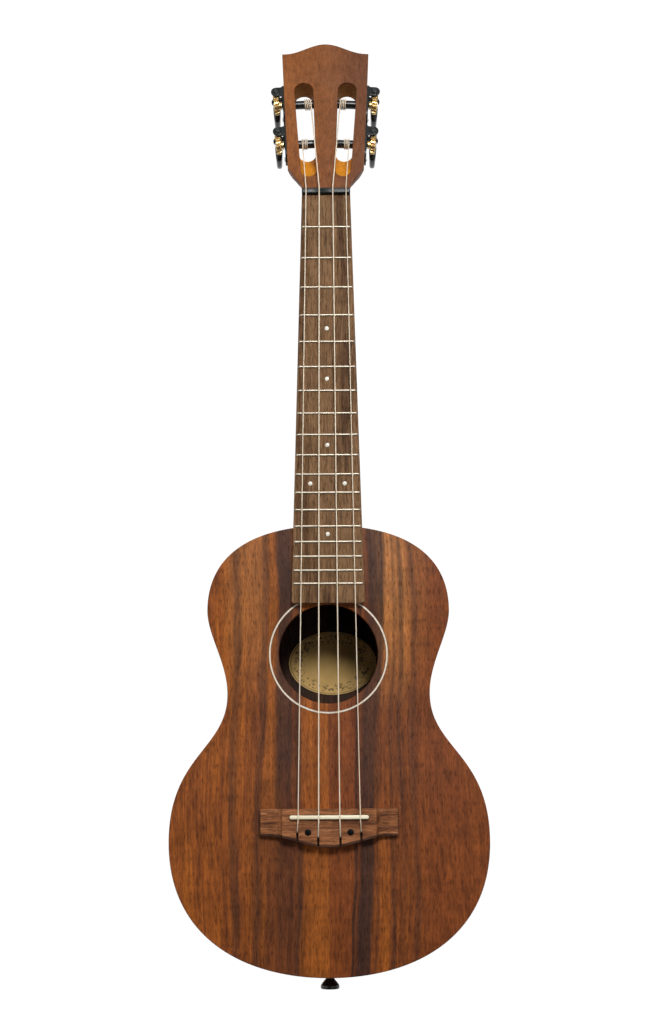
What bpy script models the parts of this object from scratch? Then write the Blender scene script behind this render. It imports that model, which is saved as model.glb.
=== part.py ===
"""A tenor ukulele with a slotted headstock and open worm-and-gear tuners.

It lies on its flat back: +Z comes out of the soundboard, +Y points to the headstock and
+X to the player's view right. The origin is on the outer face of the back, on the
centre line, half way along the body. Lengths are in metres.

"Station" means the distance from the nut's front edge toward the tail, so a fret or the
saddle is placed by its station, and Y = ORIGIN_STATION - station.
"""

import math

import bmesh
import bpy
from mathutils import Matrix, Vector

# Fits
JOIN_GAP = 0.0003
RUNNING_GAP = 0.0003
CUT_MARGIN = 0.0020

# Facets
SHARP_ANGLE = math.radians(35)
FLAT_ANGLE = math.radians(0.1)
BODY_STEPS = 12
BLOCK_FACE_STEPS = 24
HOLE_STEPS = 48
NECK_SECTION_STEPS = 12
HEEL_STEPS = 8
SHAFT_STEPS = 5
SHOULDER_STEPS = 4
CROWN_STEPS = 8
SLOT_END_STEPS = 8
CORNER_STEPS = 4
FRET_CROWN_STEPS = 5
NUT_CROWN_STEPS = 6
ROUND_END_STEPS = 6
EAR_STEPS = 10
BRIDGE_REAR_STEPS = 14
SCOOP_STEPS = 4
DOT_SIDES = 14
ROD_SIDES = 16
HUB_SIDES = 14
BORE_SIDES = 12
STRAP_SIDES = 20
BUTTON_SIDES = 12

# Scale and neck
SCALE_LENGTH = 0.432
COMPENSATION = 0.0045
FRET_COUNT = 18
NUT_WIDTH = 0.0345
NUT_THICKNESS = 0.0042
NUT_HEIGHT = 0.0030
FRETBOARD_END_STATION = 0.2927
FRETBOARD_END_WIDTH = 0.0502
FRETBOARD_THICKNESS = 0.0055
FRETBOARD_CORNER = 0.0020
FRET_CROWN_WIDTH = 0.0022
FRET_CROWN_HEIGHT = 0.0010
FRET_TANG_WIDTH = 0.0006
FRET_TANG_DEPTH = 0.0015
MARKER_DIAMETER = 0.0034
MARKER_DEPTH = 0.0008
MARKER_FRETS = (5, 7, 10, 15)
DOUBLE_MARKER_FRET = 12
DOUBLE_MARKER_OFFSET = 0.0119
NECK_DEPTH_AT_NUT = 0.0135
NECK_DEPTH_AT_HEEL = 0.0160
HEEL_CLEARANCE = 0.0040
HEEL_LENGTH = 0.0420
HEEL_FLOOR_WIDTH = 0.0220
HEEL_SWELL_POWER = 2.6
HEEL_SQUARENESS = 0.6
NECK_ROUND_POWER = 0.85
NUT_CROWN_HEIGHT = 0.0015
NUT_GROOVE_DEPTH = 0.0011

# Body
BODY_DEPTH = 0.0700
BODY_NECK_STATION = 0.2380
UPPER_BOUT_STATION = 0.2966
WAIST_STATION = 0.3543
LOWER_BOUT_STATION = 0.4518
TAIL_STATION = 0.5414
UPPER_BOUT_HALF = 0.0830
WAIST_HALF = 0.0689
LOWER_BOUT_HALF = 0.1079
NECK_END_HANDLE = 0.0510
UPPER_BOUT_FRONT_HANDLE = 0.0395
UPPER_BOUT_REAR_HANDLE = 0.0171
WAIST_FRONT_HANDLE = 0.0216
WAIST_REAR_HANDLE = 0.0367
LOWER_BOUT_FRONT_HANDLE = 0.0573
LOWER_BOUT_REAR_HANDLE = 0.0629
TAIL_HANDLE = 0.0574
SOUNDBOARD_THICKNESS = 0.0022
BACK_THICKNESS = 0.0022
SIDE_THICKNESS = 0.0020
LINING_WIDTH = 0.0055
LINING_HEIGHT = 0.0090
LINING_FOOT_HEIGHT = 0.0030
SOUND_HOLE_STATION = 0.3269
SOUND_HOLE_DIAMETER = 0.0676
BLOCK_WIDTH = 0.0600
NECK_BLOCK_LENGTH = 0.0180
TAIL_BLOCK_LENGTH = 0.0120
BLOCK_SIDE_CLEARANCE = 0.0010
BRACE_WIDTH = 0.0070
BRACE_HEIGHT = 0.0110
BRACE_END_HEIGHT = 0.0030
BRACE_TAPER_LENGTH = 0.0200
BRACE_SIDE_CLEARANCE = 0.0010
UPPER_BRACE_STATION = 0.2760
LOWER_BRACE_STATION = 0.3780
UPPER_BACK_BRACE_STATION = 0.2740
LOWER_BACK_BRACE_STATION = 0.4400
BRIDGE_PLATE_LENGTH = 0.0300
BRIDGE_PLATE_WIDTH = 0.1000
BRIDGE_PLATE_THICKNESS = 0.0022

# Bridge, saddle and strap button
BRIDGE_WIDTH = 0.0931
BRIDGE_FRONT = 0.0055
BRIDGE_WING_REAR = 0.0124
BRIDGE_CENTRE_REAR = 0.0198
BRIDGE_WING_HEIGHT = 0.0042
BRIDGE_TIP_HEIGHT = 0.0034
BRIDGE_CENTRE_HEIGHT = 0.0085
BRIDGE_STEP_OFFSET = 0.0314
BRIDGE_SCOOP_LENGTH = 0.0040
BRIDGE_SCOOP_OVERRUN = 0.0009
BRIDGE_BELL_HALF = 0.0410
BRIDGE_CORNER = 0.0015
BRIDGE_WING_TAPER = 0.0004
BRIDGE_DOT_OFFSET = 0.0142
BRIDGE_DOT_REAR = 0.0099
BRIDGE_DOT_DIAMETER = 0.0044
BRIDGE_DOT_DEPTH = 0.0008
SADDLE_LENGTH = 0.0530
SADDLE_THICKNESS = 0.0027
SADDLE_HEIGHT = 0.0029
SADDLE_ROUNDING = 0.0007
SADDLE_SLOT_DEPTH = 0.0050
STRING_SLOT_WIDTH = 0.0015
STRING_SLOT_OFFSETS = (-0.0213, -0.0074, 0.0074, 0.0213)
STRING_SLOT_FRONTS = (0.0089, 0.0120, 0.0120, 0.0089)
STRING_ENTRY_SHARE = 0.7
STRING_END_RUN = 0.0010
STRING_SLOT_DEPTH = 0.0045
STRAP_NECK_DIAMETER = 0.0054
STRAP_BASE_DIAMETER = 0.0090
STRAP_HEAD_DIAMETER = 0.0128
STRAP_HEAD_THICKNESS = 0.0022
STRAP_HEAD_CHAMFER = 0.0007
STRAP_NECK_START = 0.0021
STRAP_NECK_END = 0.0037
STRAP_LENGTH = 0.0107

# Headstock
HEAD_ANGLE = math.radians(14)
HEAD_CORE_THICKNESS = 0.0150
VENEER_THICKNESS = 0.0015
HEAD_LENGTH = 0.1302
HEAD_CORNER = 0.1210
HEAD_CORNER_HALF = 0.0322
HEAD_LOWER_CORNER = 0.0200
HEAD_LOWER_HALF = 0.0275
HEAD_SHOULDER = 0.0105
HEAD_SHOULDER_HALF = 0.0214
HEAD_THROAT = 0.0015
HEAD_CROWN_POWER = 1.15
HEAD_SQUARE_START = 0.0285
HEAD_SQUARE_POWER = 1.6
SLOT_TOP = 0.0947
SLOT_BOTTOM = 0.0102
SLOT_RAMP_END = 0.0363
SLOT_TOP_INNER = 0.0090
SLOT_TOP_OUTER = 0.0230
SLOT_BOTTOM_INNER = 0.0066
SLOT_BOTTOM_OUTER = 0.0180

# Tuners
UPPER_TUNER = 0.0810
LOWER_TUNER = 0.0456
ROLLER_DEPTH = 0.0075
ROLLER_DIAMETER = 0.0061
ROLLER_END_DEPTH = 0.0040
ROLLER_CHAMFER = 0.0005
GEAR_TEETH = 15
GEAR_MODULE = 0.0008
GEAR_THICKNESS = 0.0034
GEAR_BORE_DIAMETER = 0.0036
GEAR_HUB_WALL = 0.0011
WORM_PITCH_DIAMETER = 0.0042
WORM_THREAD_LENGTH = 0.0080
WORM_RUNOUT = 0.0005
THREAD_LEVELS = 10
WORM_SHAFT_DIAMETER = 0.0026
TOOTH_SHARE = 0.38
TOOTH_FLANK_ANGLE = math.radians(20)
TOOTH_ADDENDUM = 0.0006
TOOTH_DEDENDUM = 0.0009
WORM_OUTBOARD = 0.0058
PLATE_THICKNESS = 0.0010
PLATE_LENGTH = 0.0330
PLATE_WIDTH = 0.0140
EAR_THICKNESS = 0.0013
EAR_DIAMETER = 0.0076
EAR_GAP = 0.0108
BUTTON_START = 0.0140
BUTTON_LENGTH = 0.0240
BUTTON_WIDTH = 0.0170
BUTTON_THICKNESS = 0.0048
BUTTON_RIM_THICKNESS = 0.0031
BUTTON_COLLAR_DIAMETER = 0.0056
BUTTON_COLLAR_LENGTH = 0.0027
BUTTON_SOCKET_DEPTH = 0.0060
BUTTON_WIDEST_SHARE = 0.58
BUTTON_SPREAD_SHARE = 0.47
BUTTON_LEVEL_SHARES = (0.24, 0.38, 0.56, 0.74, 0.88, 0.96, 1.0)
BUTTON_TIP_SHARE = 0.85

# Strings, from the left of the player's view to the right
STRING_LABELS = ("g", "c", "e", "a")
STRING_DIAMETERS = (0.00071, 0.00091, 0.00081, 0.00066)
STRING_NUT_OFFSETS = (-0.01425, -0.00485, 0.00485, 0.01425)
STRING_SADDLE_OFFSETS = (-0.0207, -0.00705, 0.00705, 0.0207)
STRING_TUNER_OFFSETS = (-0.0143, -0.0110, 0.0110, 0.0143)
WINDING_TURNS = 3
WINDING_GAP = 0.0005
WINDING_POINTS = 24
WINDING_TAIL = 0.0015

# Derived places
ORIGIN_STATION = (BODY_NECK_STATION + TAIL_STATION) / 2
SADDLE_STATION = SCALE_LENGTH + COMPENSATION
TOP_Z = BODY_DEPTH
FRETBOARD_BOTTOM = TOP_Z + JOIN_GAP
FRETBOARD_TOP = FRETBOARD_BOTTOM + FRETBOARD_THICKNESS
NUT_TOP = FRETBOARD_TOP + NUT_HEIGHT
SADDLE_TOP = TOP_Z + JOIN_GAP + BRIDGE_CENTRE_HEIGHT + SADDLE_HEIGHT
GEAR_PITCH_RADIUS = GEAR_TEETH * GEAR_MODULE / 2
WORM_PITCH_RADIUS = WORM_PITCH_DIAMETER / 2
TOOTH_PITCH = math.pi * GEAR_MODULE
LEAD_ANGLE = math.atan(TOOTH_PITCH / (math.pi * WORM_PITCH_DIAMETER))
WORM_OFFSET = GEAR_PITCH_RADIUS + WORM_PITCH_RADIUS
HEAD_TAPER = math.atan((HEAD_CORNER_HALF - HEAD_LOWER_HALF) / (HEAD_CORNER - HEAD_LOWER_CORNER))

# Finishes: name, colour, roughness, metallic
KOA_TOP = ("koa_top", (0.42, 0.16, 0.055), 0.32, 0.0)
KOA_SIDE = ("koa_side", (0.38, 0.15, 0.055), 0.34, 0.0)
KOA_FACE = ("koa_face", (0.36, 0.14, 0.07), 0.34, 0.0)
MAHOGANY_NECK = ("mahogany_neck", (0.34, 0.13, 0.06), 0.42, 0.0)
MAHOGANY_BLOCK = ("mahogany_block", (0.36, 0.16, 0.08), 0.6, 0.0)
SPRUCE_BRACE = ("spruce_brace", (0.62, 0.42, 0.24), 0.7, 0.0)
WALNUT_BOARD = ("walnut_board", (0.20, 0.125, 0.08), 0.5, 0.0)
WALNUT_BRIDGE = ("walnut_bridge", (0.19, 0.105, 0.06), 0.5, 0.0)
NICKEL_FRET = ("nickel_fret", (0.72, 0.70, 0.66), 0.25, 1.0)
BLACK_NUT = ("black_nut", (0.03, 0.03, 0.032), 0.3, 0.0)
BONE_SADDLE = ("bone_saddle", (0.80, 0.76, 0.66), 0.35, 0.0)
BLACK_BUTTON = ("black_strap_button", (0.015, 0.015, 0.016), 0.3, 0.0)
PLATE_FINISH = ("black_plate", (0.02, 0.02, 0.022), 0.35, 0.6)
ROLLER_FINISH = ("black_roller", (0.015, 0.015, 0.016), 0.3, 0.0)
GEAR_FINISH = ("brass_gear", (0.78, 0.55, 0.22), 0.28, 1.0)
WORM_FINISH = ("brass_worm", (0.74, 0.52, 0.21), 0.3, 1.0)
BUTTON_FINISH = ("black_tuner_button", (0.012, 0.012, 0.013), 0.25, 0.0)
STRING_FINISH = ("clear_string", (0.75, 0.72, 0.66), 0.3, 0.0)


def station_y(station):
    """Y of a place given by its distance from the nut toward the tail."""
    return ORIGIN_STATION - station


def fret_station(number):
    """Distance of a fret from the nut on an equal-tempered scale."""
    return SCALE_LENGTH * (1 - 2 ** (-number / 12))


def fretboard_half_width(station):
    """Half the fretboard's width at a station."""
    share = station / FRETBOARD_END_STATION
    return (NUT_WIDTH + (FRETBOARD_END_WIDTH - NUT_WIDTH) * share) / 2


def head_half_width(along):
    """Half the headstock's width on its straight sides."""
    return HEAD_LOWER_HALF + (along - HEAD_LOWER_CORNER) * math.tan(HEAD_TAPER)


def clear_scene():
    """Remove the objects of the start-up scene."""
    for old in list(bpy.data.objects):
        bpy.data.objects.remove(old)


def new_collection(name):
    """A collection linked to the scene."""
    collection = bpy.data.collections.new(name)
    bpy.context.scene.collection.children.link(collection)
    return collection


def finish_material(finish):
    """A Principled material, shared by the pieces that have it."""
    name, colour, roughness, metallic = finish
    found = bpy.data.materials.get(name)
    if found:
        return found
    made = bpy.data.materials.new(name)
    made.use_nodes = True
    shader = made.node_tree.nodes["Principled BSDF"]
    shader.inputs["Base Color"].default_value = (*colour, 1)
    shader.inputs["Roughness"].default_value = roughness
    shader.inputs["Metallic"].default_value = metallic
    return made


def mesh_object(name, mesh, finish=None, parent=None):
    """An object for a piece, or for a cutter where no finish is given."""
    made = bpy.data.objects.new(name, mesh)
    (PARTS if finish else CUTTERS).objects.link(made)
    if finish:
        mesh.materials.append(finish_material(finish))
    else:
        made.hide_render = True
        made.display_type = "WIRE"
    made.parent = parent
    return made


def closed_mesh(name, shape, smooth=True):
    """A mesh from a bmesh, with its faces pointing out and round parts smooth."""
    bmesh.ops.recalc_face_normals(shape, faces=shape.faces)
    mesh = bpy.data.meshes.new(name)
    shape.to_mesh(mesh)
    shape.free()
    if smooth:
        mesh.shade_smooth()
        mesh.set_sharp_from_angle(angle=SHARP_ANGLE)
    return mesh


def cut(piece, cutter):
    """Cut one shape out of a piece."""
    boolean = piece.modifiers.new("cut_" + cutter.name, "BOOLEAN")
    boolean.operation = "DIFFERENCE"
    boolean.object = cutter


def join(piece, other):
    """Fuse another shape to a piece."""
    boolean = piece.modifiers.new("join_" + other.name, "BOOLEAN")
    boolean.operation = "UNION"
    boolean.object = other


def loft(name, rings):
    """A closed skin over rings of equally many points, capped at both ends."""
    shape = bmesh.new()
    rows = [[shape.verts.new(point) for point in ring] for ring in rings]
    count = len(rows[0])
    for lower, upper in zip(rows, rows[1:]):
        for i in range(count):
            k = (i + 1) % count
            shape.faces.new((lower[i], lower[k], upper[k], upper[i]))
    shape.faces.new(list(reversed(rows[0])))
    shape.faces.new(rows[-1])
    return closed_mesh(name, shape)


def turned(name, profile, steps, finish=None, parent=None):
    """A shape turned about Z from a profile of (radius, z), top to bottom."""
    mesh = bpy.data.meshes.new(name)
    points = [(radius, 0, z) for radius, z in profile]
    edges = [(i, i + 1) for i in range(len(points) - 1)]
    mesh.from_pydata(points, edges, [])
    made = mesh_object(name, mesh, finish, parent)
    screw = made.modifiers.new("turn", "SCREW")
    screw.steps = steps
    screw.render_steps = steps
    screw.use_merge_vertices = True
    screw.merge_threshold = 0.00001
    return made


def box_mesh(name, low, high):
    """A box from its lowest to its highest corner."""
    shape = bmesh.new()
    bmesh.ops.create_cube(shape, size=1)
    size = Vector(high) - Vector(low)
    bmesh.ops.scale(shape, vec=size, verts=shape.verts)
    bmesh.ops.translate(shape, vec=(Vector(high) + Vector(low)) / 2, verts=shape.verts)
    return closed_mesh(name, shape, smooth=False)


def rod_mesh(name, radius, start, end, segments=ROD_SIDES):
    """A cylinder between two points."""
    start = Vector(start)
    end = Vector(end)
    shape = bmesh.new()
    length = (end - start).length
    bmesh.ops.create_cone(
        shape, cap_ends=True, segments=segments, radius1=radius, radius2=radius, depth=length
    )
    turn = (end - start).to_track_quat("Z", "Y").to_matrix().to_4x4()
    bmesh.ops.transform(shape, matrix=Matrix.Translation((start + end) / 2) @ turn, verts=shape.verts)
    return closed_mesh(name, shape)


def flat_outline(curve, points):
    """Add a closed straight-sided outline to a 2D curve."""
    spline = curve.splines.new("POLY")
    spline.points.add(len(points) - 1)
    for i, (x, y) in enumerate(points):
        spline.points[i].co = (x, y, 0, 1)
    spline.use_cyclic_u = True


def smooth_outline(curve, anchors, resolution):
    """Add a closed Bezier outline; each anchor is its point and its two handles."""
    spline = curve.splines.new("BEZIER")
    spline.bezier_points.add(len(anchors) - 1)
    for i, (point, before, after) in enumerate(anchors):
        knot = spline.bezier_points[i]
        knot.handle_left_type = "FREE"
        knot.handle_right_type = "FREE"
        knot.co = (*point, 0)
        knot.handle_left = (*before, 0)
        knot.handle_right = (*after, 0)
    spline.resolution_u = resolution
    spline.use_cyclic_u = True


def flat_curve(name):
    """An empty 2D curve for outlines that will be extruded."""
    curve = bpy.data.curves.new(name, "CURVE")
    curve.dimensions = "2D"
    curve.fill_mode = "BOTH"
    return curve


def extrude_outline(curve, bottom, top):
    """The solid between two heights of a 2D curve's outlines, as a mesh."""
    curve.extrude = (top - bottom) / 2
    guide = bpy.data.objects.new(curve.name, curve)
    CUTTERS.objects.link(guide)
    bpy.context.view_layer.update()
    drawn = guide.evaluated_get(bpy.context.evaluated_depsgraph_get())
    flat = bpy.data.meshes.new_from_object(drawn)
    bpy.data.objects.remove(guide)
    shape = bmesh.new()
    shape.from_mesh(flat)
    bmesh.ops.remove_doubles(shape, verts=shape.verts, dist=0.000001)
    bmesh.ops.dissolve_limit(shape, angle_limit=FLAT_ANGLE, verts=shape.verts, edges=shape.edges)
    bmesh.ops.translate(shape, vec=(0, 0, (top + bottom) / 2), verts=shape.verts)
    return closed_mesh(curve.name, shape)


def arc(centre, radius, start, end, steps):
    """Points along an arc, angles in radians."""
    turn = (end - start) / steps
    return [
        (centre[0] + radius * math.cos(start + turn * i), centre[1] + radius * math.sin(start + turn * i))
        for i in range(steps + 1)
    ]


def circle(centre, radius, steps):
    """Points once round a circle."""
    return arc(centre, radius, 0, 2 * math.pi, steps)[:-1]


def body_anchors(side):
    """Bezier anchors of half the body from the neck to the tail, on one side."""
    bouts = (
        (UPPER_BOUT_STATION, UPPER_BOUT_HALF, UPPER_BOUT_FRONT_HANDLE, UPPER_BOUT_REAR_HANDLE),
        (WAIST_STATION, WAIST_HALF, WAIST_FRONT_HANDLE, WAIST_REAR_HANDLE),
        (LOWER_BOUT_STATION, LOWER_BOUT_HALF, LOWER_BOUT_FRONT_HANDLE, LOWER_BOUT_REAR_HANDLE),
    )
    neck_y = station_y(BODY_NECK_STATION)
    tail_y = station_y(TAIL_STATION)
    anchors = [((0, neck_y), (-side * NECK_END_HANDLE, neck_y), (side * NECK_END_HANDLE, neck_y))]
    for station, half, front, rear in bouts:
        x = side * half
        y = station_y(station)
        anchors.append(((x, y), (x, y + front), (x, y - rear)))
    anchors.append(((0, tail_y), (side * TAIL_HANDLE, tail_y), (-side * TAIL_HANDLE, tail_y)))
    return anchors


def whole_body_anchors():
    """Anchors once round the body."""
    right = body_anchors(1)
    left = [(point, after, before) for point, before, after in body_anchors(-1)]
    return right + left[-2:0:-1]


def bezier_point(first, second, share):
    """A point between two anchors of an outline."""
    a = Vector(first[0])
    b = Vector(first[2])
    c = Vector(second[1])
    d = Vector(second[0])
    rest = 1 - share
    return a * rest**3 + b * 3 * rest**2 * share + c * 3 * rest * share**2 + d * share**3


def body_half_width(station):
    """Half the body's width at a station, found on its outline."""
    anchors = body_anchors(1)
    y = station_y(station)
    for first, second in zip(anchors, anchors[1:]):
        if second[0][1] <= y <= first[0][1]:
            low = 0.0
            high = 1.0
            for _ in range(30):
                middle = (low + high) / 2
                if bezier_point(first, second, middle).y > y:
                    low = middle
                else:
                    high = middle
            return bezier_point(first, second, low).x
    return 0.0


def side_path(side, inward, steps=BODY_STEPS):
    """Points of half the body outline, neck to tail, moved inward by a distance."""
    anchors = body_anchors(side)
    points = []
    for first, second in zip(anchors, anchors[1:]):
        for i in range(steps):
            points.append((first, second, i / steps))
    points.append((anchors[-2], anchors[-1], 1))
    path = []
    for first, second, share in points:
        here = bezier_point(first, second, share)
        before = bezier_point(first, second, max(share - 0.001, 0))
        after = bezier_point(first, second, min(share + 0.001, 1))
        run = (after - before).normalized()
        path.append(here + Vector((run.y, -run.x)) * side * inward)
    return path


def body_plate(name, bottom, top, finish, hole=None):
    """A plate with the body's outline, and a round hole if one is given."""
    curve = flat_curve(name)
    smooth_outline(curve, whole_body_anchors(), BODY_STEPS)
    if hole:
        station, diameter = hole
        flat_outline(curve, circle((0, station_y(station)), diameter / 2, HOLE_STEPS))
    return mesh_object(name, extrude_outline(curve, bottom, top), finish)


def make_side(name, side):
    """A bent side with the lining strips along both its edges, which stop at the blocks."""
    low = BACK_THICKNESS + JOIN_GAP
    high = TOP_Z - SOUNDBOARD_THICKNESS - JOIN_GAP
    outer = side_path(side, 0)
    wall = side_path(side, SIDE_THICKNESS)
    lining = side_path(side, LINING_WIDTH)
    block_edge = BLOCK_WIDTH / 2 + BLOCK_SIDE_CLEARANCE
    middle = len(outer) // 2
    rings = []
    for i, (a, b, c) in enumerate(zip(outer, wall, lining)):
        toward_block = max(i - 1, 0) if i < middle else min(i + 1, len(outer) - 1)
        inner = c if abs(outer[toward_block].x) >= block_edge else b
        at_end = i in (0, len(outer) - 1)
        rows = [
            (a, low),
            (a, high),
            (inner, high),
            (inner, high - LINING_FOOT_HEIGHT),
            (b, high - LINING_HEIGHT),
            (b, low + LINING_HEIGHT),
            (inner, low + LINING_FOOT_HEIGHT),
            (inner, low),
        ]
        rings.append([(side * JOIN_GAP / 2 if at_end else p.x, p.y, z) for p, z in rows])
    return mesh_object(name, loft(name, rings), KOA_SIDE)


def make_block(name, station, length, toward_tail):
    """A block glued inside the body at the neck or at the tail, fitted to the bent sides."""
    inner_wall = side_path(1, SIDE_THICKNESS + JOIN_GAP, BLOCK_FACE_STEPS)
    face = [p for p in inner_wall if p.x <= BLOCK_WIDTH / 2]
    face = [p for p in face if abs(p.y - station_y(station)) < length]
    back_y = station_y(station + toward_tail * (SIDE_THICKNESS + length))
    right = [(p.x, p.y) for p in face]
    if toward_tail < 0:
        right.reverse()
    left = [(-x, y) for x, y in reversed(right) if x > 0.0001]
    edge = right[-1][0]
    points = left + right + [(edge, back_y), (-edge, back_y)]
    curve = flat_curve(name)
    flat_outline(curve, points)
    low = BACK_THICKNESS + JOIN_GAP
    high = TOP_Z - SOUNDBOARD_THICKNESS - JOIN_GAP
    return mesh_object(name, extrude_outline(curve, low, high), MAHOGANY_BLOCK)


def make_brace(name, station, under_top):
    """A cross brace with tapered ends, glued under the soundboard or on the back."""
    reach = min(body_half_width(station + BRACE_WIDTH * k / 2) for k in (-1, 0, 1))
    half = reach - LINING_WIDTH - BRACE_SIDE_CLEARANCE
    taper = half - BRACE_TAPER_LENGTH
    curve = flat_curve(name)
    drop = -1 if under_top else 1
    flat_outline(
        curve,
        [
            (-half, 0),
            (half, 0),
            (half, drop * BRACE_END_HEIGHT),
            (taper, drop * BRACE_HEIGHT),
            (-taper, drop * BRACE_HEIGHT),
            (-half, drop * BRACE_END_HEIGHT),
        ],
    )
    made = mesh_object(name, extrude_outline(curve, -BRACE_WIDTH / 2, BRACE_WIDTH / 2), SPRUCE_BRACE)
    height = TOP_Z - SOUNDBOARD_THICKNESS - JOIN_GAP if under_top else BACK_THICKNESS + JOIN_GAP
    made.location = (0, station_y(station), height)
    made.rotation_euler = (math.pi / 2, 0, 0)
    return made


def make_bridge_plate():
    """The thin plate under the soundboard below the bridge."""
    middle = SADDLE_STATION + (BRIDGE_CENTRE_REAR - BRIDGE_FRONT) / 2
    high = TOP_Z - SOUNDBOARD_THICKNESS - JOIN_GAP
    y = station_y(middle)
    mesh = box_mesh(
        "bridge_plate",
        (-BRIDGE_PLATE_WIDTH / 2, y - BRIDGE_PLATE_LENGTH / 2, high - BRIDGE_PLATE_THICKNESS),
        (BRIDGE_PLATE_WIDTH / 2, y + BRIDGE_PLATE_LENGTH / 2, high),
    )
    return mesh_object("bridge_plate", mesh, SPRUCE_BRACE)


def make_body():
    """Soundboard, back, sides, blocks and braces."""
    hole = (SOUND_HOLE_STATION, SOUND_HOLE_DIAMETER)
    body_plate("soundboard", TOP_Z - SOUNDBOARD_THICKNESS, TOP_Z, KOA_TOP, hole)
    body_plate("back", 0, BACK_THICKNESS, KOA_SIDE)
    make_side("side_left", -1)
    make_side("side_right", 1)
    make_block("neck_block", BODY_NECK_STATION, NECK_BLOCK_LENGTH, 1)
    make_block("tail_block", TAIL_STATION, TAIL_BLOCK_LENGTH, -1)
    make_brace("upper_top_brace", UPPER_BRACE_STATION, True)
    make_brace("lower_top_brace", LOWER_BRACE_STATION, True)
    make_brace("upper_back_brace", UPPER_BACK_BRACE_STATION, False)
    make_brace("lower_back_brace", LOWER_BACK_BRACE_STATION, False)
    make_bridge_plate()


def make_frame(name, location, rotation, parent=None):
    """An empty that carries pieces."""
    frame = bpy.data.objects.new(name, None)
    CUTTERS.objects.link(frame)
    frame.parent = parent
    frame.location = location
    frame.rotation_euler = rotation
    return frame


def head_side():
    """The headstock's right edge as (half width, distance from the nut), nut to crown."""
    points = []
    rise = HEAD_SHOULDER - HEAD_THROAT
    for i in range(SHOULDER_STEPS + 1):
        share = i / SHOULDER_STEPS
        half = NUT_WIDTH / 2 + (HEAD_SHOULDER_HALF - NUT_WIDTH / 2) * share**2
        points.append((half, HEAD_THROAT + rise * share))
    points.append((HEAD_LOWER_HALF, HEAD_LOWER_CORNER))
    for i in range(CROWN_STEPS):
        half = HEAD_CORNER_HALF * (1 - i / CROWN_STEPS)
        swell = (1 + math.cos(math.pi * half / HEAD_CORNER_HALF)) / 2
        points.append((half, HEAD_CORNER + (HEAD_LENGTH - HEAD_CORNER) * swell**HEAD_CROWN_POWER))
    return points


def neck_section(top_half, floor_half, depth, squareness):
    """Half a neck's cross-section as (x, depth) points, from a D to a square-sided shape."""
    points = []
    for i in range(NECK_SECTION_STEPS + 1):
        turn = math.pi * i / NECK_SECTION_STEPS
        across = math.cos(turn)
        down = math.sin(turn)
        reach = max(abs(across), abs(down))
        square_down = down / reach
        square_half = top_half + (floor_half - top_half) * square_down
        square = Vector((across / reach * square_half, square_down * depth))
        round_shape = Vector((across * top_half, max(down, 0) ** NECK_ROUND_POWER * depth))
        points.append(round_shape.lerp(square, squareness))
    return points


def make_neck(head):
    """One piece from the heel to the crown of the headstock."""
    rings = []
    joint = BODY_NECK_STATION - JOIN_GAP
    heel_start = joint - HEEL_LENGTH
    stations = [joint - HEEL_LENGTH * i / HEEL_STEPS for i in range(HEEL_STEPS + 1)]
    run = NECK_DEPTH_AT_NUT / 3 - heel_start
    stations += [heel_start + run * i / SHAFT_STEPS for i in range(1, SHAFT_STEPS + 1)]
    for station in stations:
        half = fretboard_half_width(station)
        share = station / heel_start
        depth = NECK_DEPTH_AT_NUT + (NECK_DEPTH_AT_HEEL - NECK_DEPTH_AT_NUT) * min(share, 1)
        swell = max((station - heel_start) / HEEL_LENGTH, 0) ** HEEL_SWELL_POWER
        depth += (BODY_DEPTH - HEEL_CLEARANCE - depth) * swell
        floor_half = half + (HEEL_FLOOR_WIDTH / 2 - half) * swell
        section = neck_section(half, floor_half, depth, HEEL_SQUARENESS * swell)
        rings.append([(p.x, station_y(station), TOP_Z - p.y) for p in section])
    outline = [(NUT_WIDTH / 2, 0.0)] + head_side()
    corner = outline.index((HEAD_LOWER_HALF, HEAD_LOWER_CORNER))
    outline.insert(corner + 1, (head_half_width(HEAD_SQUARE_START), HEAD_SQUARE_START))
    for half, along in outline:
        square = min(along / HEAD_SQUARE_START, 1) ** HEAD_SQUARE_POWER
        section = neck_section(half, half, HEAD_CORE_THICKNESS, square)
        rings.append([head.matrix_world @ Vector((p.x, along, -p.y)) for p in section])
    return mesh_object("neck", loft("neck", rings), MAHOGANY_NECK)


def slot_ring(side, depth):
    """The plan of a headstock slot at a depth under the veneer's face."""
    total = VENEER_THICKNESS + JOIN_GAP + HEAD_CORE_THICKNESS
    bottom = SLOT_BOTTOM + (SLOT_RAMP_END - SLOT_BOTTOM) * depth / total

    def edge(at_bottom, at_top, along):
        return at_bottom + (at_top - at_bottom) * (along - SLOT_BOTTOM) / (SLOT_TOP - SLOT_BOTTOM)

    def end(along, start, inset):
        inner = edge(SLOT_BOTTOM_INNER, SLOT_TOP_INNER, along)
        outer = edge(SLOT_BOTTOM_OUTER, SLOT_TOP_OUTER, along)
        radius = (outer - inner) / 2
        centre = ((inner + outer) / 2, along + inset * radius)
        return arc(centre, radius, start, start + math.pi, SLOT_END_STEPS)

    points = end(SLOT_TOP, 0, -1) + end(bottom, math.pi, 1)
    front = VENEER_THICKNESS + JOIN_GAP
    return [(side * x, y, front - depth) for x, y in points]


def cut_slots(head, pieces):
    """Cut both slots, whose lower ends slope to the back, out of the headstock."""
    total = VENEER_THICKNESS + JOIN_GAP + HEAD_CORE_THICKNESS
    shape = bmesh.new()
    for side in (-1, 1):
        rings = [slot_ring(side, -CUT_MARGIN), slot_ring(side, total + CUT_MARGIN)]
        shape.from_mesh(loft("slot", rings))
    cutter = mesh_object("slot_cutter", closed_mesh("slot_cutter", shape), parent=head)
    for piece in pieces:
        cut(piece, cutter)


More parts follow.
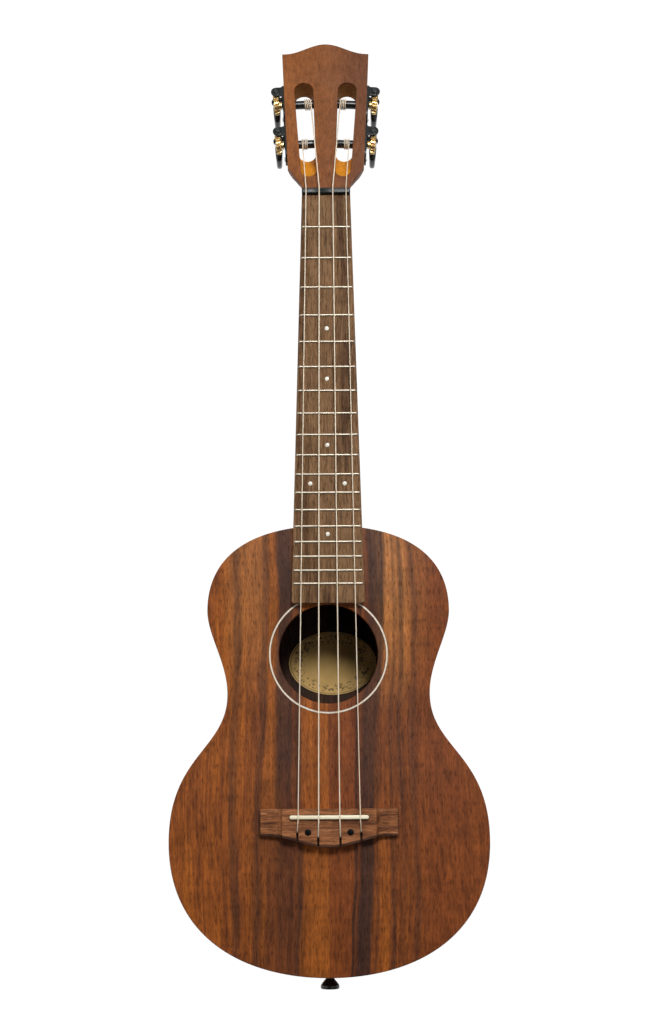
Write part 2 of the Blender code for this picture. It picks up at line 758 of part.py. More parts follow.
def make_veneer(head):
    """The thin face glued on the headstock."""
    start = 2 * JOIN_GAP
    right = [(NUT_WIDTH / 2, start)] + head_side()
    left = [(-half, along) for half, along in reversed(right)]
    curve = flat_curve("headstock_veneer")
    flat_outline(curve, right + [(0, HEAD_LENGTH)] + left)
    mesh = extrude_outline(curve, JOIN_GAP, JOIN_GAP + VENEER_THICKNESS)
    return mesh_object("headstock_veneer", mesh, KOA_FACE, head)


def make_fretboard():
    """The tapered fretboard with its fret slots and shallow seats for the position dots."""
    start = fretboard_half_width(0)
    end = FRETBOARD_END_WIDTH / 2
    y0 = station_y(0)
    y1 = station_y(FRETBOARD_END_STATION)
    r = FRETBOARD_CORNER
    curve = flat_curve("fretboard")
    right = [(start, y0)] + arc((end - r, y1 + r), r, 0, -math.pi / 2, CORNER_STEPS)
    flat_outline(curve, right + [(-x, y) for x, y in reversed(right)])
    mesh = extrude_outline(curve, FRETBOARD_BOTTOM, FRETBOARD_TOP)
    board = mesh_object("fretboard", mesh, WALNUT_BOARD)
    slot_half = FRET_TANG_WIDTH / 2 + JOIN_GAP
    for number in range(1, FRET_COUNT + 1):
        y = station_y(fret_station(number))
        name = f"fret_slot_{number}"
        low = (-FRETBOARD_END_WIDTH, y - slot_half, FRETBOARD_TOP - FRET_TANG_DEPTH)
        high = (FRETBOARD_END_WIDTH, y + slot_half, FRETBOARD_TOP + FRET_TANG_DEPTH)
        cut(board, mesh_object(name, box_mesh(name, low, high)))
    spots = [(0, number) for number in MARKER_FRETS]
    spots += [(DOUBLE_MARKER_OFFSET * k, DOUBLE_MARKER_FRET) for k in (-1, 1)]
    for x, number in spots:
        middle = (fret_station(number - 1) + fret_station(number)) / 2
        y = station_y(middle)
        low = (x, y, FRETBOARD_TOP - MARKER_DEPTH)
        high = (x, y, FRETBOARD_TOP + MARKER_DEPTH)
        name = f"marker_seat_{number}_{'left' if x < 0 else 'right' if x > 0 else 'middle'}"
        cut(board, mesh_object(name, rod_mesh(name, MARKER_DIAMETER / 2, low, high, DOT_SIDES)))


def make_fret(number):
    """A fret: a rounded crown on the board and a tang in its slot."""
    crown = []
    for k in range(FRET_CROWN_STEPS + 1):
        turn = math.pi * k / FRET_CROWN_STEPS
        across = FRET_CROWN_WIDTH / 2 * math.cos(turn)
        crown.append((across, JOIN_GAP + FRET_CROWN_HEIGHT * math.sin(turn)))
    tang = FRET_TANG_WIDTH / 2
    depth = FRET_TANG_DEPTH - JOIN_GAP
    curve = flat_curve(f"fret_{number:02d}")
    flat_outline(curve, crown + [(-tang, JOIN_GAP), (-tang, -depth), (tang, -depth), (tang, JOIN_GAP)])
    reach = fretboard_half_width(fret_station(number))
    made = mesh_object(curve.name, extrude_outline(curve, -reach, reach), NICKEL_FRET)
    made.location = (0, station_y(fret_station(number)), FRETBOARD_TOP)
    made.rotation_euler = (math.pi / 2, 0, math.pi / 2)


def make_nut():
    """The nut, rounded on top, with a groove for each string."""
    rear = -JOIN_GAP - NUT_THICKNESS
    front = -JOIN_GAP
    low = TOP_Z + JOIN_GAP
    shoulder = NUT_TOP - NUT_CROWN_HEIGHT
    middle = (front + rear) / 2
    crown = []
    for k in range(NUT_CROWN_STEPS + 1):
        turn = math.pi * k / NUT_CROWN_STEPS
        across = middle + NUT_THICKNESS / 2 * math.cos(turn)
        crown.append((across, shoulder + NUT_CROWN_HEIGHT * math.sin(turn)))
    curve = flat_curve("nut")
    flat_outline(curve, [(rear, low), (front, low)] + crown)
    made = mesh_object("nut", extrude_outline(curve, -NUT_WIDTH / 2, NUT_WIDTH / 2), BLACK_NUT)
    made.location = (0, station_y(0), 0)
    made.rotation_euler = (math.pi / 2, 0, -math.pi / 2)
    for label, diameter, x in zip(STRING_LABELS, STRING_DIAMETERS, STRING_NUT_OFFSETS):
        half = diameter / 2 + JOIN_GAP
        floor = nut_groove_floor()
        name = f"nut_groove_{label}"
        low = (x - half, station_y(front) - CUT_MARGIN, floor)
        high = (x + half, station_y(rear) + CUT_MARGIN, NUT_TOP + CUT_MARGIN)
        cut(made, mesh_object(name, box_mesh(name, low, high)))


def nut_groove_floor():
    """Height of the bottom of the nut's grooves."""
    return NUT_TOP - NUT_GROOVE_DEPTH


def make_bridge():
    """The bridge: a raised middle between two wings, a saddle slot and four string slots."""
    front = station_y(SADDLE_STATION - BRIDGE_FRONT)
    wing_rear = station_y(SADDLE_STATION + BRIDGE_WING_REAR)
    centre_rear = station_y(SADDLE_STATION + BRIDGE_CENTRE_REAR)
    half = BRIDGE_WIDTH / 2
    bottom = TOP_Z + JOIN_GAP
    top = bottom + BRIDGE_CENTRE_HEIGHT
    plan = flat_curve("bridge")
    rear = []
    for i in range(BRIDGE_REAR_STEPS + 1):
        x = BRIDGE_BELL_HALF * (1 - 2 * i / BRIDGE_REAR_STEPS)
        rear.append((x, station_y(bridge_rear(x))))
    corner = BRIDGE_CORNER
    right = [(half - corner, front), (half, front - corner), (half, wing_rear + corner)]
    right.append((half - corner, wing_rear + BRIDGE_WING_TAPER))
    flat_outline(plan, right + rear + [(-x, y) for x, y in reversed(right)])
    bridge = mesh_object("bridge", extrude_outline(plan, bottom, top), WALNUT_BRIDGE)
    step = BRIDGE_STEP_OFFSET
    scoop = BRIDGE_SCOOP_LENGTH
    tip = half + CUT_MARGIN
    right = [(tip, -CUT_MARGIN), (tip, BRIDGE_TIP_HEIGHT), (step + scoop, BRIDGE_WING_HEIGHT)]
    climb = BRIDGE_CENTRE_HEIGHT - BRIDGE_WING_HEIGHT + BRIDGE_SCOOP_OVERRUN
    for k in range(1, SCOOP_STEPS + 1):
        turn = math.pi / 2 * k / SCOOP_STEPS
        x = step + scoop * (1 - math.sin(turn))
        right.append((x, BRIDGE_WING_HEIGHT + climb * (1 - math.cos(turn))))
    elevation = flat_curve("bridge_elevation")
    flat_outline(elevation, right + [(-x, z) for x, z in reversed(right)])
    reach = BRIDGE_CENTRE_REAR * 2
    shape = mesh_object("bridge_elevation", extrude_outline(elevation, -reach, reach))
    shape.location = (0, station_y(SADDLE_STATION), bottom)
    shape.rotation_euler = (math.pi / 2, 0, 0)
    trim = bridge.modifiers.new("trim_wings", "BOOLEAN")
    trim.operation = "INTERSECT"
    trim.object = shape
    slot = flat_curve("saddle_slot")
    slot_length = SADDLE_LENGTH + 2 * JOIN_GAP
    slot_width = SADDLE_THICKNESS + 2 * JOIN_GAP
    flat_outline(slot, stadium(slot_length, slot_width, SADDLE_STATION))
    slot_mesh = extrude_outline(slot, top - SADDLE_SLOT_DEPTH, top + CUT_MARGIN)
    cut(bridge, mesh_object("saddle_slot", slot_mesh))
    for label, x, behind in zip(STRING_LABELS, STRING_SLOT_OFFSETS, STRING_SLOT_FRONTS):
        name = f"string_slot_{label}"
        low = (x - STRING_SLOT_WIDTH / 2, centre_rear - CUT_MARGIN, top - STRING_SLOT_DEPTH)
        front = station_y(SADDLE_STATION + behind)
        high = (x + STRING_SLOT_WIDTH / 2, front, top + CUT_MARGIN)
        cut(bridge, mesh_object(name, box_mesh(name, low, high)))
    for x, label in ((-BRIDGE_DOT_OFFSET, "left"), (BRIDGE_DOT_OFFSET, "right")):
        y = station_y(SADDLE_STATION + BRIDGE_DOT_REAR)
        name = f"bridge_dot_seat_{label}"
        low = (x, y, top - BRIDGE_DOT_DEPTH)
        high = (x, y, top + CUT_MARGIN)
        cut(bridge, mesh_object(name, rod_mesh(name, BRIDGE_DOT_DIAMETER / 2, low, high, DOT_SIDES)))


def stadium(length, width, station):
    """A round-ended strip across the instrument at a station."""
    radius = width / 2
    reach = length / 2 - radius
    y = station_y(station)
    right = arc((reach, y), radius, -math.pi / 2, math.pi / 2, ROUND_END_STEPS)
    left = arc((-reach, y), radius, math.pi / 2, 3 * math.pi / 2, ROUND_END_STEPS)
    return right + left


def make_saddle():
    """The saddle, with rounded ends and a rounded top."""
    bottom = TOP_Z + JOIN_GAP + BRIDGE_CENTRE_HEIGHT - SADDLE_SLOT_DEPTH + JOIN_GAP
    curve = flat_curve("saddle")
    flat_outline(curve, stadium(SADDLE_LENGTH, SADDLE_THICKNESS, SADDLE_STATION))
    made = mesh_object("saddle", extrude_outline(curve, bottom, SADDLE_TOP), BONE_SADDLE)
    bevel = made.modifiers.new("round_edges", "BEVEL")
    bevel.width = SADDLE_ROUNDING
    bevel.segments = 2
    bevel.limit_method = "ANGLE"
    bevel.angle_limit = math.radians(60)


def make_strap_button():
    """The turned strap button on the tail."""
    head = STRAP_HEAD_DIAMETER / 2
    profile = [
        (0, STRAP_LENGTH),
        (head - STRAP_HEAD_CHAMFER, STRAP_LENGTH),
        (head, STRAP_LENGTH - STRAP_HEAD_CHAMFER),
        (head, STRAP_LENGTH - STRAP_HEAD_THICKNESS),
        (STRAP_NECK_DIAMETER / 2, STRAP_NECK_END),
        (STRAP_NECK_DIAMETER / 2, STRAP_NECK_START),
        (STRAP_BASE_DIAMETER / 2, 0),
        (0, 0),
    ]
    made = turned("strap_button", profile, STRAP_SIDES, BLACK_BUTTON)
    made.location = (0, station_y(TAIL_STATION + JOIN_GAP), BODY_DEPTH / 2)
    made.rotation_euler = (math.pi / 2, 0, 0)


def tuner_frame(label, side, along, head):
    """An empty on the headstock's side, at a roller's axis, that carries one tuner."""
    place = (side * head_half_width(along), along, -ROLLER_DEPTH)
    return make_frame(label + "_tuner_frame", place, (0, 0, -side * HEAD_TAPER), head)


def roller_reach(along):
    """How far a roller goes in from the headstock's side, to its seat in the middle bar."""
    share = (along - SLOT_BOTTOM) / (SLOT_TOP - SLOT_BOTTOM)
    inner = SLOT_BOTTOM_INNER + (SLOT_TOP_INNER - SLOT_BOTTOM_INNER) * share
    return (head_half_width(along) - inner) / math.cos(HEAD_TAPER) + ROLLER_END_DEPTH


def make_roller(label, side, along, frame, neck):
    """A string roller: its barrel, and the stub that carries the gear."""
    radius = ROLLER_DIAMETER / 2
    stub = GEAR_BORE_DIAMETER / 2 - JOIN_GAP
    reach = roller_reach(along)
    shoulder = JOIN_GAP + PLATE_THICKNESS + JOIN_GAP
    tip = WORM_OUTBOARD + GEAR_THICKNESS / 2 + PLATE_THICKNESS
    profile = [
        (0, tip),
        (stub, tip),
        (stub, shoulder),
        (radius, shoulder),
        (radius, ROLLER_CHAMFER - reach),
        (radius - ROLLER_CHAMFER, -reach),
        (0, -reach),
    ]
    made = turned(label + "_tuner_roller", profile, ROD_SIDES, ROLLER_FINISH, frame)
    made.rotation_euler = (0, side * math.pi / 2, 0)
    name = label + "_roller_hole"
    hole_radius = radius + RUNNING_GAP
    start = (side * CUT_MARGIN, 0, 0)
    end = (-side * (reach + RUNNING_GAP), 0, 0)
    cut(neck, mesh_object(name, rod_mesh(name, hole_radius, start, end), parent=frame))


def tooth_half(radial):
    """Half a tooth's thickness at a distance outside the pitch line."""
    return TOOTH_PITCH * TOOTH_SHARE / 2 - radial * math.tan(TOOTH_FLANK_ANGLE)


def make_gear(label, side, frame):
    """The gear on a roller, its teeth twisted to the worm's lead."""
    rings = []
    for end in (-1, 1):
        x = WORM_OUTBOARD + end * GEAR_THICKNESS / 2
        twist = end * GEAR_THICKNESS / 2 * math.tan(LEAD_ANGLE) / GEAR_PITCH_RADIUS
        ring = []
        for tooth in range(GEAR_TEETH):
            middle = 2 * math.pi * (tooth + 0.5) / GEAR_TEETH + twist
            for radial, hand in (
                (-TOOTH_DEDENDUM, -1),
                (TOOTH_ADDENDUM, -1),
                (TOOTH_ADDENDUM, 1),
                (-TOOTH_DEDENDUM, 1),
            ):
                turn = middle + hand * tooth_half(radial) / GEAR_PITCH_RADIUS
                radius = GEAR_PITCH_RADIUS + radial
                ring.append((side * x, radius * math.cos(turn), radius * math.sin(turn)))
        rings.append(ring)
    name = label + "_tuner_gear"
    gear = mesh_object(name, loft(name, rings), GEAR_FINISH, frame)
    hub_start = JOIN_GAP + PLATE_THICKNESS + 2 * JOIN_GAP
    hub_radius = GEAR_BORE_DIAMETER / 2 + GEAR_HUB_WALL
    hub_name = label + "_gear_hub"
    hub_end = (side * WORM_OUTBOARD, 0, 0)
    hub = rod_mesh(hub_name, hub_radius, (side * hub_start, 0, 0), hub_end, HUB_SIDES)
    join(gear, mesh_object(hub_name, hub, parent=frame))
    bore_name = label + "_gear_bore"
    far = WORM_OUTBOARD + GEAR_THICKNESS
    bore = rod_mesh(bore_name, GEAR_BORE_DIAMETER / 2, (0, 0, 0), (side * far, 0, 0), BORE_SIDES)
    cut(gear, mesh_object(bore_name, bore, parent=frame))


def make_plate(label, side, frame):
    """A tuner's plate with the two ears that hold its worm."""
    near = JOIN_GAP
    far = JOIN_GAP + PLATE_THICKNESS
    radius = PLATE_WIDTH / 2
    reach = PLATE_LENGTH / 2 - radius
    outline = arc((reach, 0), radius, -math.pi / 2, math.pi / 2, ROUND_END_STEPS)
    outline += arc((-reach, 0), radius, math.pi / 2, 3 * math.pi / 2, ROUND_END_STEPS)
    curve = flat_curve(label + "_tuner_plate")
    flat_outline(curve, outline)
    flat_outline(curve, circle((0, 0), ROLLER_DIAMETER / 2 + RUNNING_GAP, ROD_SIDES))
    low, high = sorted((side * near, side * far))
    mesh = extrude_outline(curve, low, high)
    mesh.transform(Matrix(((0, 0, 1, 0), (1, 0, 0, 0), (0, 1, 0, 0), (0, 0, 0, 1))))
    plate = mesh_object(label + "_tuner_plate", mesh, PLATE_FINISH, frame)
    ear = EAR_DIAMETER / 2
    root = near + PLATE_THICKNESS / 2
    for end, place in ((1, "front"), (-1, "rear")):
        shape = [(root, WORM_OFFSET - ear)]
        shape += arc((WORM_OUTBOARD, WORM_OFFSET), ear, -math.pi / 2, math.pi / 2, EAR_STEPS)
        shape.append((root, WORM_OFFSET + ear))
        name = f"{label}_ear_{place}"
        tab = flat_curve(name)
        flat_outline(tab, [(side * x, y) for x, y in shape])
        hole_radius = WORM_SHAFT_DIAMETER / 2 + RUNNING_GAP
        flat_outline(tab, circle((side * WORM_OUTBOARD, WORM_OFFSET), hole_radius, BORE_SIDES))
        low, high = sorted((end * EAR_GAP / 2, end * (EAR_GAP / 2 + EAR_THICKNESS)))
        join(plate, mesh_object(name, extrude_outline(tab, low, high), parent=frame))


def thread_section():
    """One turn of the worm's cross-section as (angle, radius) points, its crest at zero."""
    tip = 2 * math.pi * tooth_half(TOOTH_ADDENDUM) / TOOTH_PITCH
    pitch = 2 * math.pi * tooth_half(0) / TOOTH_PITCH
    root = 2 * math.pi * tooth_half(-TOOTH_DEDENDUM) / TOOTH_PITCH
    tip_radius = WORM_PITCH_RADIUS + TOOTH_ADDENDUM
    root_radius = WORM_PITCH_RADIUS - TOOTH_DEDENDUM
    half = [
        (tip, tip_radius),
        (pitch, WORM_PITCH_RADIUS),
        (root, root_radius),
        ((root + math.pi) / 2, root_radius),
    ]
    mirrored = [(2 * math.pi - turn, radius) for turn, radius in reversed(half)]
    return [(0, tip_radius)] + half + [(math.pi, root_radius)] + mirrored


def make_worm(label, side, frame):
    """A worm: a thread of one start between two plain journals."""
    section = thread_section()
    shaft = WORM_SHAFT_DIAMETER / 2
    root = WORM_PITCH_RADIUS - TOOTH_DEDENDUM
    half = WORM_THREAD_LENGTH / 2
    shoulder = min(half + WORM_RUNOUT, EAR_GAP / 2 - RUNNING_GAP)
    front = EAR_GAP / 2 + EAR_THICKNESS + RUNNING_GAP
    rear = BUTTON_START + BUTTON_SOCKET_DEPTH - JOIN_GAP
    levels = round(WORM_THREAD_LENGTH / TOOTH_PITCH * THREAD_LEVELS)
    heights = [(front, shaft), (shoulder, shaft), (shoulder, root)]
    heights += [(half - WORM_THREAD_LENGTH * i / levels, None) for i in range(levels + 1)]
    heights += [(-shoulder, root), (-shoulder, shaft), (-rear, shaft)]
    rings = []
    for z, plain in heights:
        held = max(min(z, half), -half)
        lead = 2 * math.pi * held / TOOTH_PITCH - math.pi / 2
        ring = []
        for turn, radius in section:
            reach = plain or radius
            ring.append((side * reach * math.cos(turn + lead), reach * math.sin(turn + lead), z))
        rings.append(ring)
    name = label + "_tuner_worm"
    made = mesh_object(name, loft(name, rings), WORM_FINISH, frame)
    made.location = (side * WORM_OUTBOARD, WORM_OFFSET, 0)


def make_button(label, side, frame):
    """A flat tuner button with a round collar, on the end of its worm's shaft."""
    socket = WORM_SHAFT_DIAMETER / 2 + JOIN_GAP
    collar = BUTTON_COLLAR_DIAMETER / 2
    outer = [(0, collar, collar), (BUTTON_COLLAR_LENGTH / BUTTON_LENGTH, collar, collar)]
    for share in BUTTON_LEVEL_SHARES:
        off_widest = (share - BUTTON_WIDEST_SHARE) / BUTTON_SPREAD_SHARE
        wide = BUTTON_WIDTH / 2 * math.sqrt(1 - off_widest**2)
        thick = BUTTON_THICKNESS + (BUTTON_RIM_THICKNESS - BUTTON_THICKNESS) * share
        edge = BUTTON_TIP_SHARE if share == BUTTON_LEVEL_SHARES[-1] else 1
        outer.append((share, thick / 2 * edge, max(wide, collar) * edge))
    levels = [(-BUTTON_START - BUTTON_SOCKET_DEPTH, socket, socket), (-BUTTON_START, socket, socket)]
    levels += [(-BUTTON_START - BUTTON_LENGTH * share, thick, wide) for share, thick, wide in outer]
    rings = []
    for z, thick, wide in levels:
        ring = []
        for i in range(BUTTON_SIDES):
            turn = 2 * math.pi * i / BUTTON_SIDES
            ring.append((thick * math.cos(turn), wide * math.sin(turn), z))
        rings.append(ring)
    name = label + "_tuner_button"
    made = mesh_object(name, loft(name, rings), BUTTON_FINISH, frame)
    made.location = (side * WORM_OUTBOARD, WORM_OFFSET, 0)


def bridge_rear(x):
    """Station of the bridge's rear edge, a bell curve about the centre line."""
    bulge = math.cos(math.pi / 2 * min(abs(x) / BRIDGE_BELL_HALF, 1)) ** 2
    return SADDLE_STATION + BRIDGE_WING_REAR + (BRIDGE_CENTRE_REAR - BRIDGE_WING_REAR) * bulge


def string_route(index, side, along, frame):
    """The points of a string, from its slot in the bridge to the end of its winding."""
    radius = STRING_DIAMETERS[index] / 2
    saddle_x = STRING_SADDLE_OFFSETS[index]
    nut_x = STRING_NUT_OFFSETS[index]
    slot_x = STRING_SLOT_OFFSETS[index]
    bridge_top = TOP_Z + JOIN_GAP + BRIDGE_CENTRE_HEIGHT
    rest = JOIN_GAP + radius
    entry = SADDLE_STATION + STRING_SLOT_FRONTS[index] + STRING_ENTRY_SHARE * rest
    saddle_reach = SADDLE_THICKNESS / 2 - SADDLE_ROUNDING
    nut_rear = -JOIN_GAP - NUT_THICKNESS - JOIN_GAP
    nut_height = nut_groove_floor() + rest
    points = [
        (slot_x, station_y(entry + STRING_END_RUN), bridge_top - STRING_SLOT_DEPTH + rest),
        (slot_x, station_y(entry), bridge_top + STRING_ENTRY_SHARE * rest),
        (saddle_x, station_y(SADDLE_STATION + saddle_reach), SADDLE_TOP + rest),
        (saddle_x, station_y(SADDLE_STATION - saddle_reach), SADDLE_TOP + rest),
        (nut_x, station_y(JOIN_GAP), nut_height),
        (nut_x, station_y(nut_rear), nut_height),
    ]
    points = [Vector(point) for point in points]
    local = frame.matrix_world.inverted() @ points[-1]
    around = ROLLER_DIAMETER / 2 + rest
    distance = math.hypot(local.y, local.z)
    first = math.atan2(local.y, local.z) + math.acos(around / distance)
    start = (abs(STRING_TUNER_OFFSETS[index]) - head_half_width(along)) / math.cos(HEAD_TAPER)
    pitch = 2 * radius + WINDING_GAP
    winding = []
    for i in range(WINDING_TURNS * WINDING_POINTS + 1):
        share = i / WINDING_POINTS
        turn = first + 2 * math.pi * share
        x = side * (start + pitch * share)
        winding.append(Vector((x, around * math.sin(turn), around * math.cos(turn))))
    run = (winding[-1] - winding[-2]).normalized()
    winding.append(winding[-1] + run * WINDING_TAIL)
    return points, [frame.matrix_world @ point for point in winding]


def report_winding(name, winding, diameter):
    """Print the least gap between the turns of a winding."""
    least = min(
        (a - b).length
        for i, a in enumerate(winding)
        for b in winding[i + WINDING_POINTS // 2 :]
    )
    print(f"{name}: least gap of the winding to itself {(least - diameter) * 1000:.2f} mm")


def make_string(index, side, along, frame):
    """A string along its whole route, wound round its roller."""
    label = STRING_LABELS[index]
    diameter = STRING_DIAMETERS[index]
    lead, winding = string_route(index, side, along, frame)
    curve = bpy.data.curves.new(label + "_string", "CURVE")
    curve.dimensions = "3D"
    curve.bevel_depth = diameter / 2
    curve.bevel_resolution = 1
    curve.use_fill_caps = True
    spline = curve.splines.new("POLY")
    route = lead + winding
    spline.points.add(len(route) - 1)
    for point, place in zip(spline.points, route):
        point.co = (*place, 1)
    mesh_object(curve.name, curve, STRING_FINISH)
    report_winding(curve.name, winding, diameter)


def make_instrument():
    """Every piece of the instrument."""
    make_body()
    pivot = (0, station_y(-JOIN_GAP - NUT_THICKNESS), TOP_Z)
    head = make_frame("head_frame", pivot, (-HEAD_ANGLE, 0, 0))
    bpy.context.view_layer.update()
    neck = make_neck(head)
    veneer = make_veneer(head)
    cut_slots(head, (neck, veneer))
    make_fretboard()
    for number in range(1, FRET_COUNT + 1):
        make_fret(number)
    make_nut()
    make_bridge()
    make_saddle()
    make_strap_button()
    places = ((-1, LOWER_TUNER), (-1, UPPER_TUNER), (1, UPPER_TUNER), (1, LOWER_TUNER))
    for index, (side, along) in enumerate(places):
        label = STRING_LABELS[index]
        frame = tuner_frame(label, side, along, head)
        bpy.context.view_layer.update()
        make_plate(label, side, frame)
        make_roller(label, side, along, frame, neck)
        make_gear(label, side, frame)
        make_worm(label, side, frame)
        make_button(label, side, frame)
        make_string(index, side, along, frame)


clear_scene()
PARTS = new_collection("tenor_ukulele")
CUTTERS = new_collection("cutters")
make_instrument()
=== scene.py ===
"""Looks of a tenor ukulele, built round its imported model. Lengths are in metres."""

from math import acos, atan, atan2, copysign, cos, hypot, pi, radians, sin, sqrt, tan

import bmesh
import bpy
from mathutils import Matrix, Vector
from mathutils.geometry import tessellate_polygon


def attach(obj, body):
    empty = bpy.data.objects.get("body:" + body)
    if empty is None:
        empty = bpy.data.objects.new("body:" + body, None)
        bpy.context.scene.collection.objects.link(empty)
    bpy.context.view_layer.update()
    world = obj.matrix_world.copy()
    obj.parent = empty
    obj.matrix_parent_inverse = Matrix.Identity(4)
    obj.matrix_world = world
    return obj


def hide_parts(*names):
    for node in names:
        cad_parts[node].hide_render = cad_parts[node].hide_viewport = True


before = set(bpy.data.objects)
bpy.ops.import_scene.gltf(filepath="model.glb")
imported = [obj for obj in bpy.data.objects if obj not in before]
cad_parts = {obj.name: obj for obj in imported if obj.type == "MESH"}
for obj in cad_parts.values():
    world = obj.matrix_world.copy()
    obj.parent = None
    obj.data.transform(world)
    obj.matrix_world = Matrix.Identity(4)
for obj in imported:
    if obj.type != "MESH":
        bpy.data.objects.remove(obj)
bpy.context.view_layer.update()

MAIN = "instrument"
SHARP = radians(38)
CUT_SHARP = radians(32)

# Body
GAP = 0.0003
ORIGIN_STATION = 0.3897
TOP = 0.0700
BODY_NECK = 0.2380
TAIL = 0.5414
PLATE = 0.0022
WALL = 0.0020
LINING = 0.0055
LINING_END = 0.0310
KERF_FLOOR = WALL + 0.0012
LINING_FOOT = WALL + 0.0022
HOLE_STATION = 0.3269
HOLE_RADIUS = 0.0338
ROSETTE_OUTER = 0.0406
ROSETTE_INNER = 0.0395
ROSETTE_LINE = 0.0003
INLAY_DEPTH = 0.0008
LABEL_X = 0.0029
LABEL_STATION = 0.3283
LABEL_REACH = (0.0315, 0.0228)
STRAP_HEIGHT = 0.0350
STRAP_DISH = 0.0099

# Neck, fretboard and nut
SCALE_LENGTH = 0.432
NUT_WIDTH = 0.0345
NUT_THICKNESS = 0.0042
BOARD_END = 0.2927
BOARD_END_WIDTH = 0.0502
BOARD_CORNER = 0.0020
BOARD_TOP = TOP + GAP + 0.0055
NUT_TOP = BOARD_TOP + 0.0030
GROOVE_DEPTH = 0.0011
NUT_EDGE = 0.0006
DOT_RADIUS = 0.00145
DOT_SPREAD = 0.0119
DOT_FRETS = (5, 7, 10, 15)
PAIRED_DOT_FRET = 12
FRET_COUNT = 18
FRET_HALF = 0.00095
FRET_HEIGHT = 0.00100
FRET_INSET = 0.0005
FRET_DRESS = 0.0012
HEEL_LENGTH = 0.0420
HEEL_DEPTH = 0.0660
HEEL_TIP_HALF = 0.0110
SHAFT_DEPTH = 0.0135
SHAFT_SWELL = 0.0025
SHAFT_END = 0.0045

# Headstock
HEAD_ANGLE = radians(14)
CORE = 0.0150
VENEER = 0.0015
HEAD_CORNER = 0.1210
HEAD_CORNER_HALF = 0.0322
HEAD_LENGTH = 0.1302
HEAD_LOWER = 0.0200
HEAD_LOWER_HALF = 0.0275
HEAD_SHOULDER = 0.0105
HEAD_SHOULDER_HALF = 0.0214
HEAD_THROAT = 0.0015
HEAD_TAPER = atan((HEAD_CORNER_HALF - HEAD_LOWER_HALF) / (HEAD_CORNER - HEAD_LOWER))
HEAD_TIP_HALF = 0.0006
CROWN_POWER = 1.15
SQUARE_START = 0.0285
SQUARE_POWER = 1.6
SLOT_TOP = 0.0947
SLOT_BOTTOM = 0.0102
SLOT_RAMP_END = 0.0363
SLOT_INNER = (0.0066, 0.0090)
SLOT_OUTER = (0.0180, 0.0230)
BORE_RADIUS = 0.00335

# Bridge and saddle
SADDLE_STATION = 0.4365
BRIDGE_WIDTH = 0.0931
BRIDGE_CORNER = 0.0015
BRIDGE_FRONT = 0.0055
BRIDGE_WING_REAR = 0.0124
BRIDGE_CENTRE_REAR = 0.0198
BRIDGE_BELL = 0.0410
BRIDGE_TOP = TOP + GAP + 0.0085
WING_HEIGHT = 0.0042
WING_EDGE_HEIGHT = 0.0034
SCOOP_FOOT = 0.0354
SCOOP_LENGTH = 0.0040
SCOOP_RISE = 0.0052
BRIDGE_DOT_OFFSET = 0.0142
BRIDGE_DOT_REAR = 0.0099
BRIDGE_DOT_RADIUS = 0.0022
SADDLE_TOP = BRIDGE_TOP + 0.0029
SADDLE_THICKNESS = 0.0027
SADDLE_LENGTH = 0.0530
SLOT_DEPTH = 0.0045
SLOT_WIDTH = 0.0015
SLOT_OFFSETS = (-0.0213, -0.0074, 0.0074, 0.0213)
SLOT_FRONTS = (0.0089, 0.0120, 0.0120, 0.0089)

# Tuners
GEAR_TEETH = 15
GEAR_MODULE = 0.0008
GEAR_RADIUS = GEAR_TEETH * GEAR_MODULE / 2
GEAR_THICKNESS = 0.0034
GEAR_CHAMFER = 0.00025
ADDENDUM = 0.0006
DEDENDUM = 0.0009
PRESSURE_ANGLE = radians(20)
TOOTH_SHARE = 0.38
WORM_RADIUS = 0.0021
WORM_HALF = 0.0040
WORM_Y = GEAR_RADIUS + WORM_RADIUS
WORM_X = 0.0058
SHAFT_RADIUS = 0.0013
TOOTH_PITCH = pi * GEAR_MODULE
LEAD = atan(TOOTH_PITCH / (2 * pi * WORM_RADIUS))
ROLLER_DEPTH = 0.0075
ROLLER_RADIUS = 0.00305
ROLLER_PAST_SLOT = 0.0040
STUB_RADIUS = 0.0015
PLATE_RADIUS = 0.0070
PLATE_LENGTH = 0.0330
PLATE_OUT = GAP + 0.0010
PLATE_SCREWS = (("upper", 0.0134), ("lower", -0.0125))
EAR_RADIUS = 0.0038
EAR_IN = 0.0054
EAR_OUT = 0.0067
BUTTON_START = 0.0140
BUTTON_LENGTH = 0.0216
BUTTON_HALF = 0.0076
COLLAR_RADIUS = 0.0028
HEAD_MIDDLE = 0.0600
TUNERS = ((-1, 0.0456), (-1, 0.0810), (1, 0.0810), (1, 0.0456))

# Strings
LABELS = ("g", "c", "e", "a")
DIAMETERS = (0.00071, 0.00091, 0.00081, 0.00066)
NUT_OFFSETS = (-0.01425, -0.00485, 0.00485, 0.01425)
SADDLE_OFFSETS = (-0.0207, -0.00705, 0.00705, 0.0207)
TUNER_OFFSETS = (0.0143, 0.0110, 0.0110, 0.0143)
WINDINGS = 3
WINDING_TAIL = 0.0015


def sy(station):
    """Y of a place given by its distance from the nut toward the tail."""
    return ORIGIN_STATION - station


def fret_station(number):
    """Distance of a fret from the nut."""
    return SCALE_LENGTH * (1 - 2 ** (-number / 12))


def board_half(station):
    """Half the fretboard's width at a station."""
    return (NUT_WIDTH + (BOARD_END_WIDTH - NUT_WIDTH) * station / BOARD_END) / 2


HEAD = Matrix.Translation((0, sy(-GAP - NUT_THICKNESS), TOP)) @ Matrix.Rotation(-HEAD_ANGLE, 4, "X")


def head_half(along):
    """Half the headstock's width on its straight sides."""
    return HEAD_LOWER_HALF + (along - HEAD_LOWER) * tan(HEAD_TAPER)


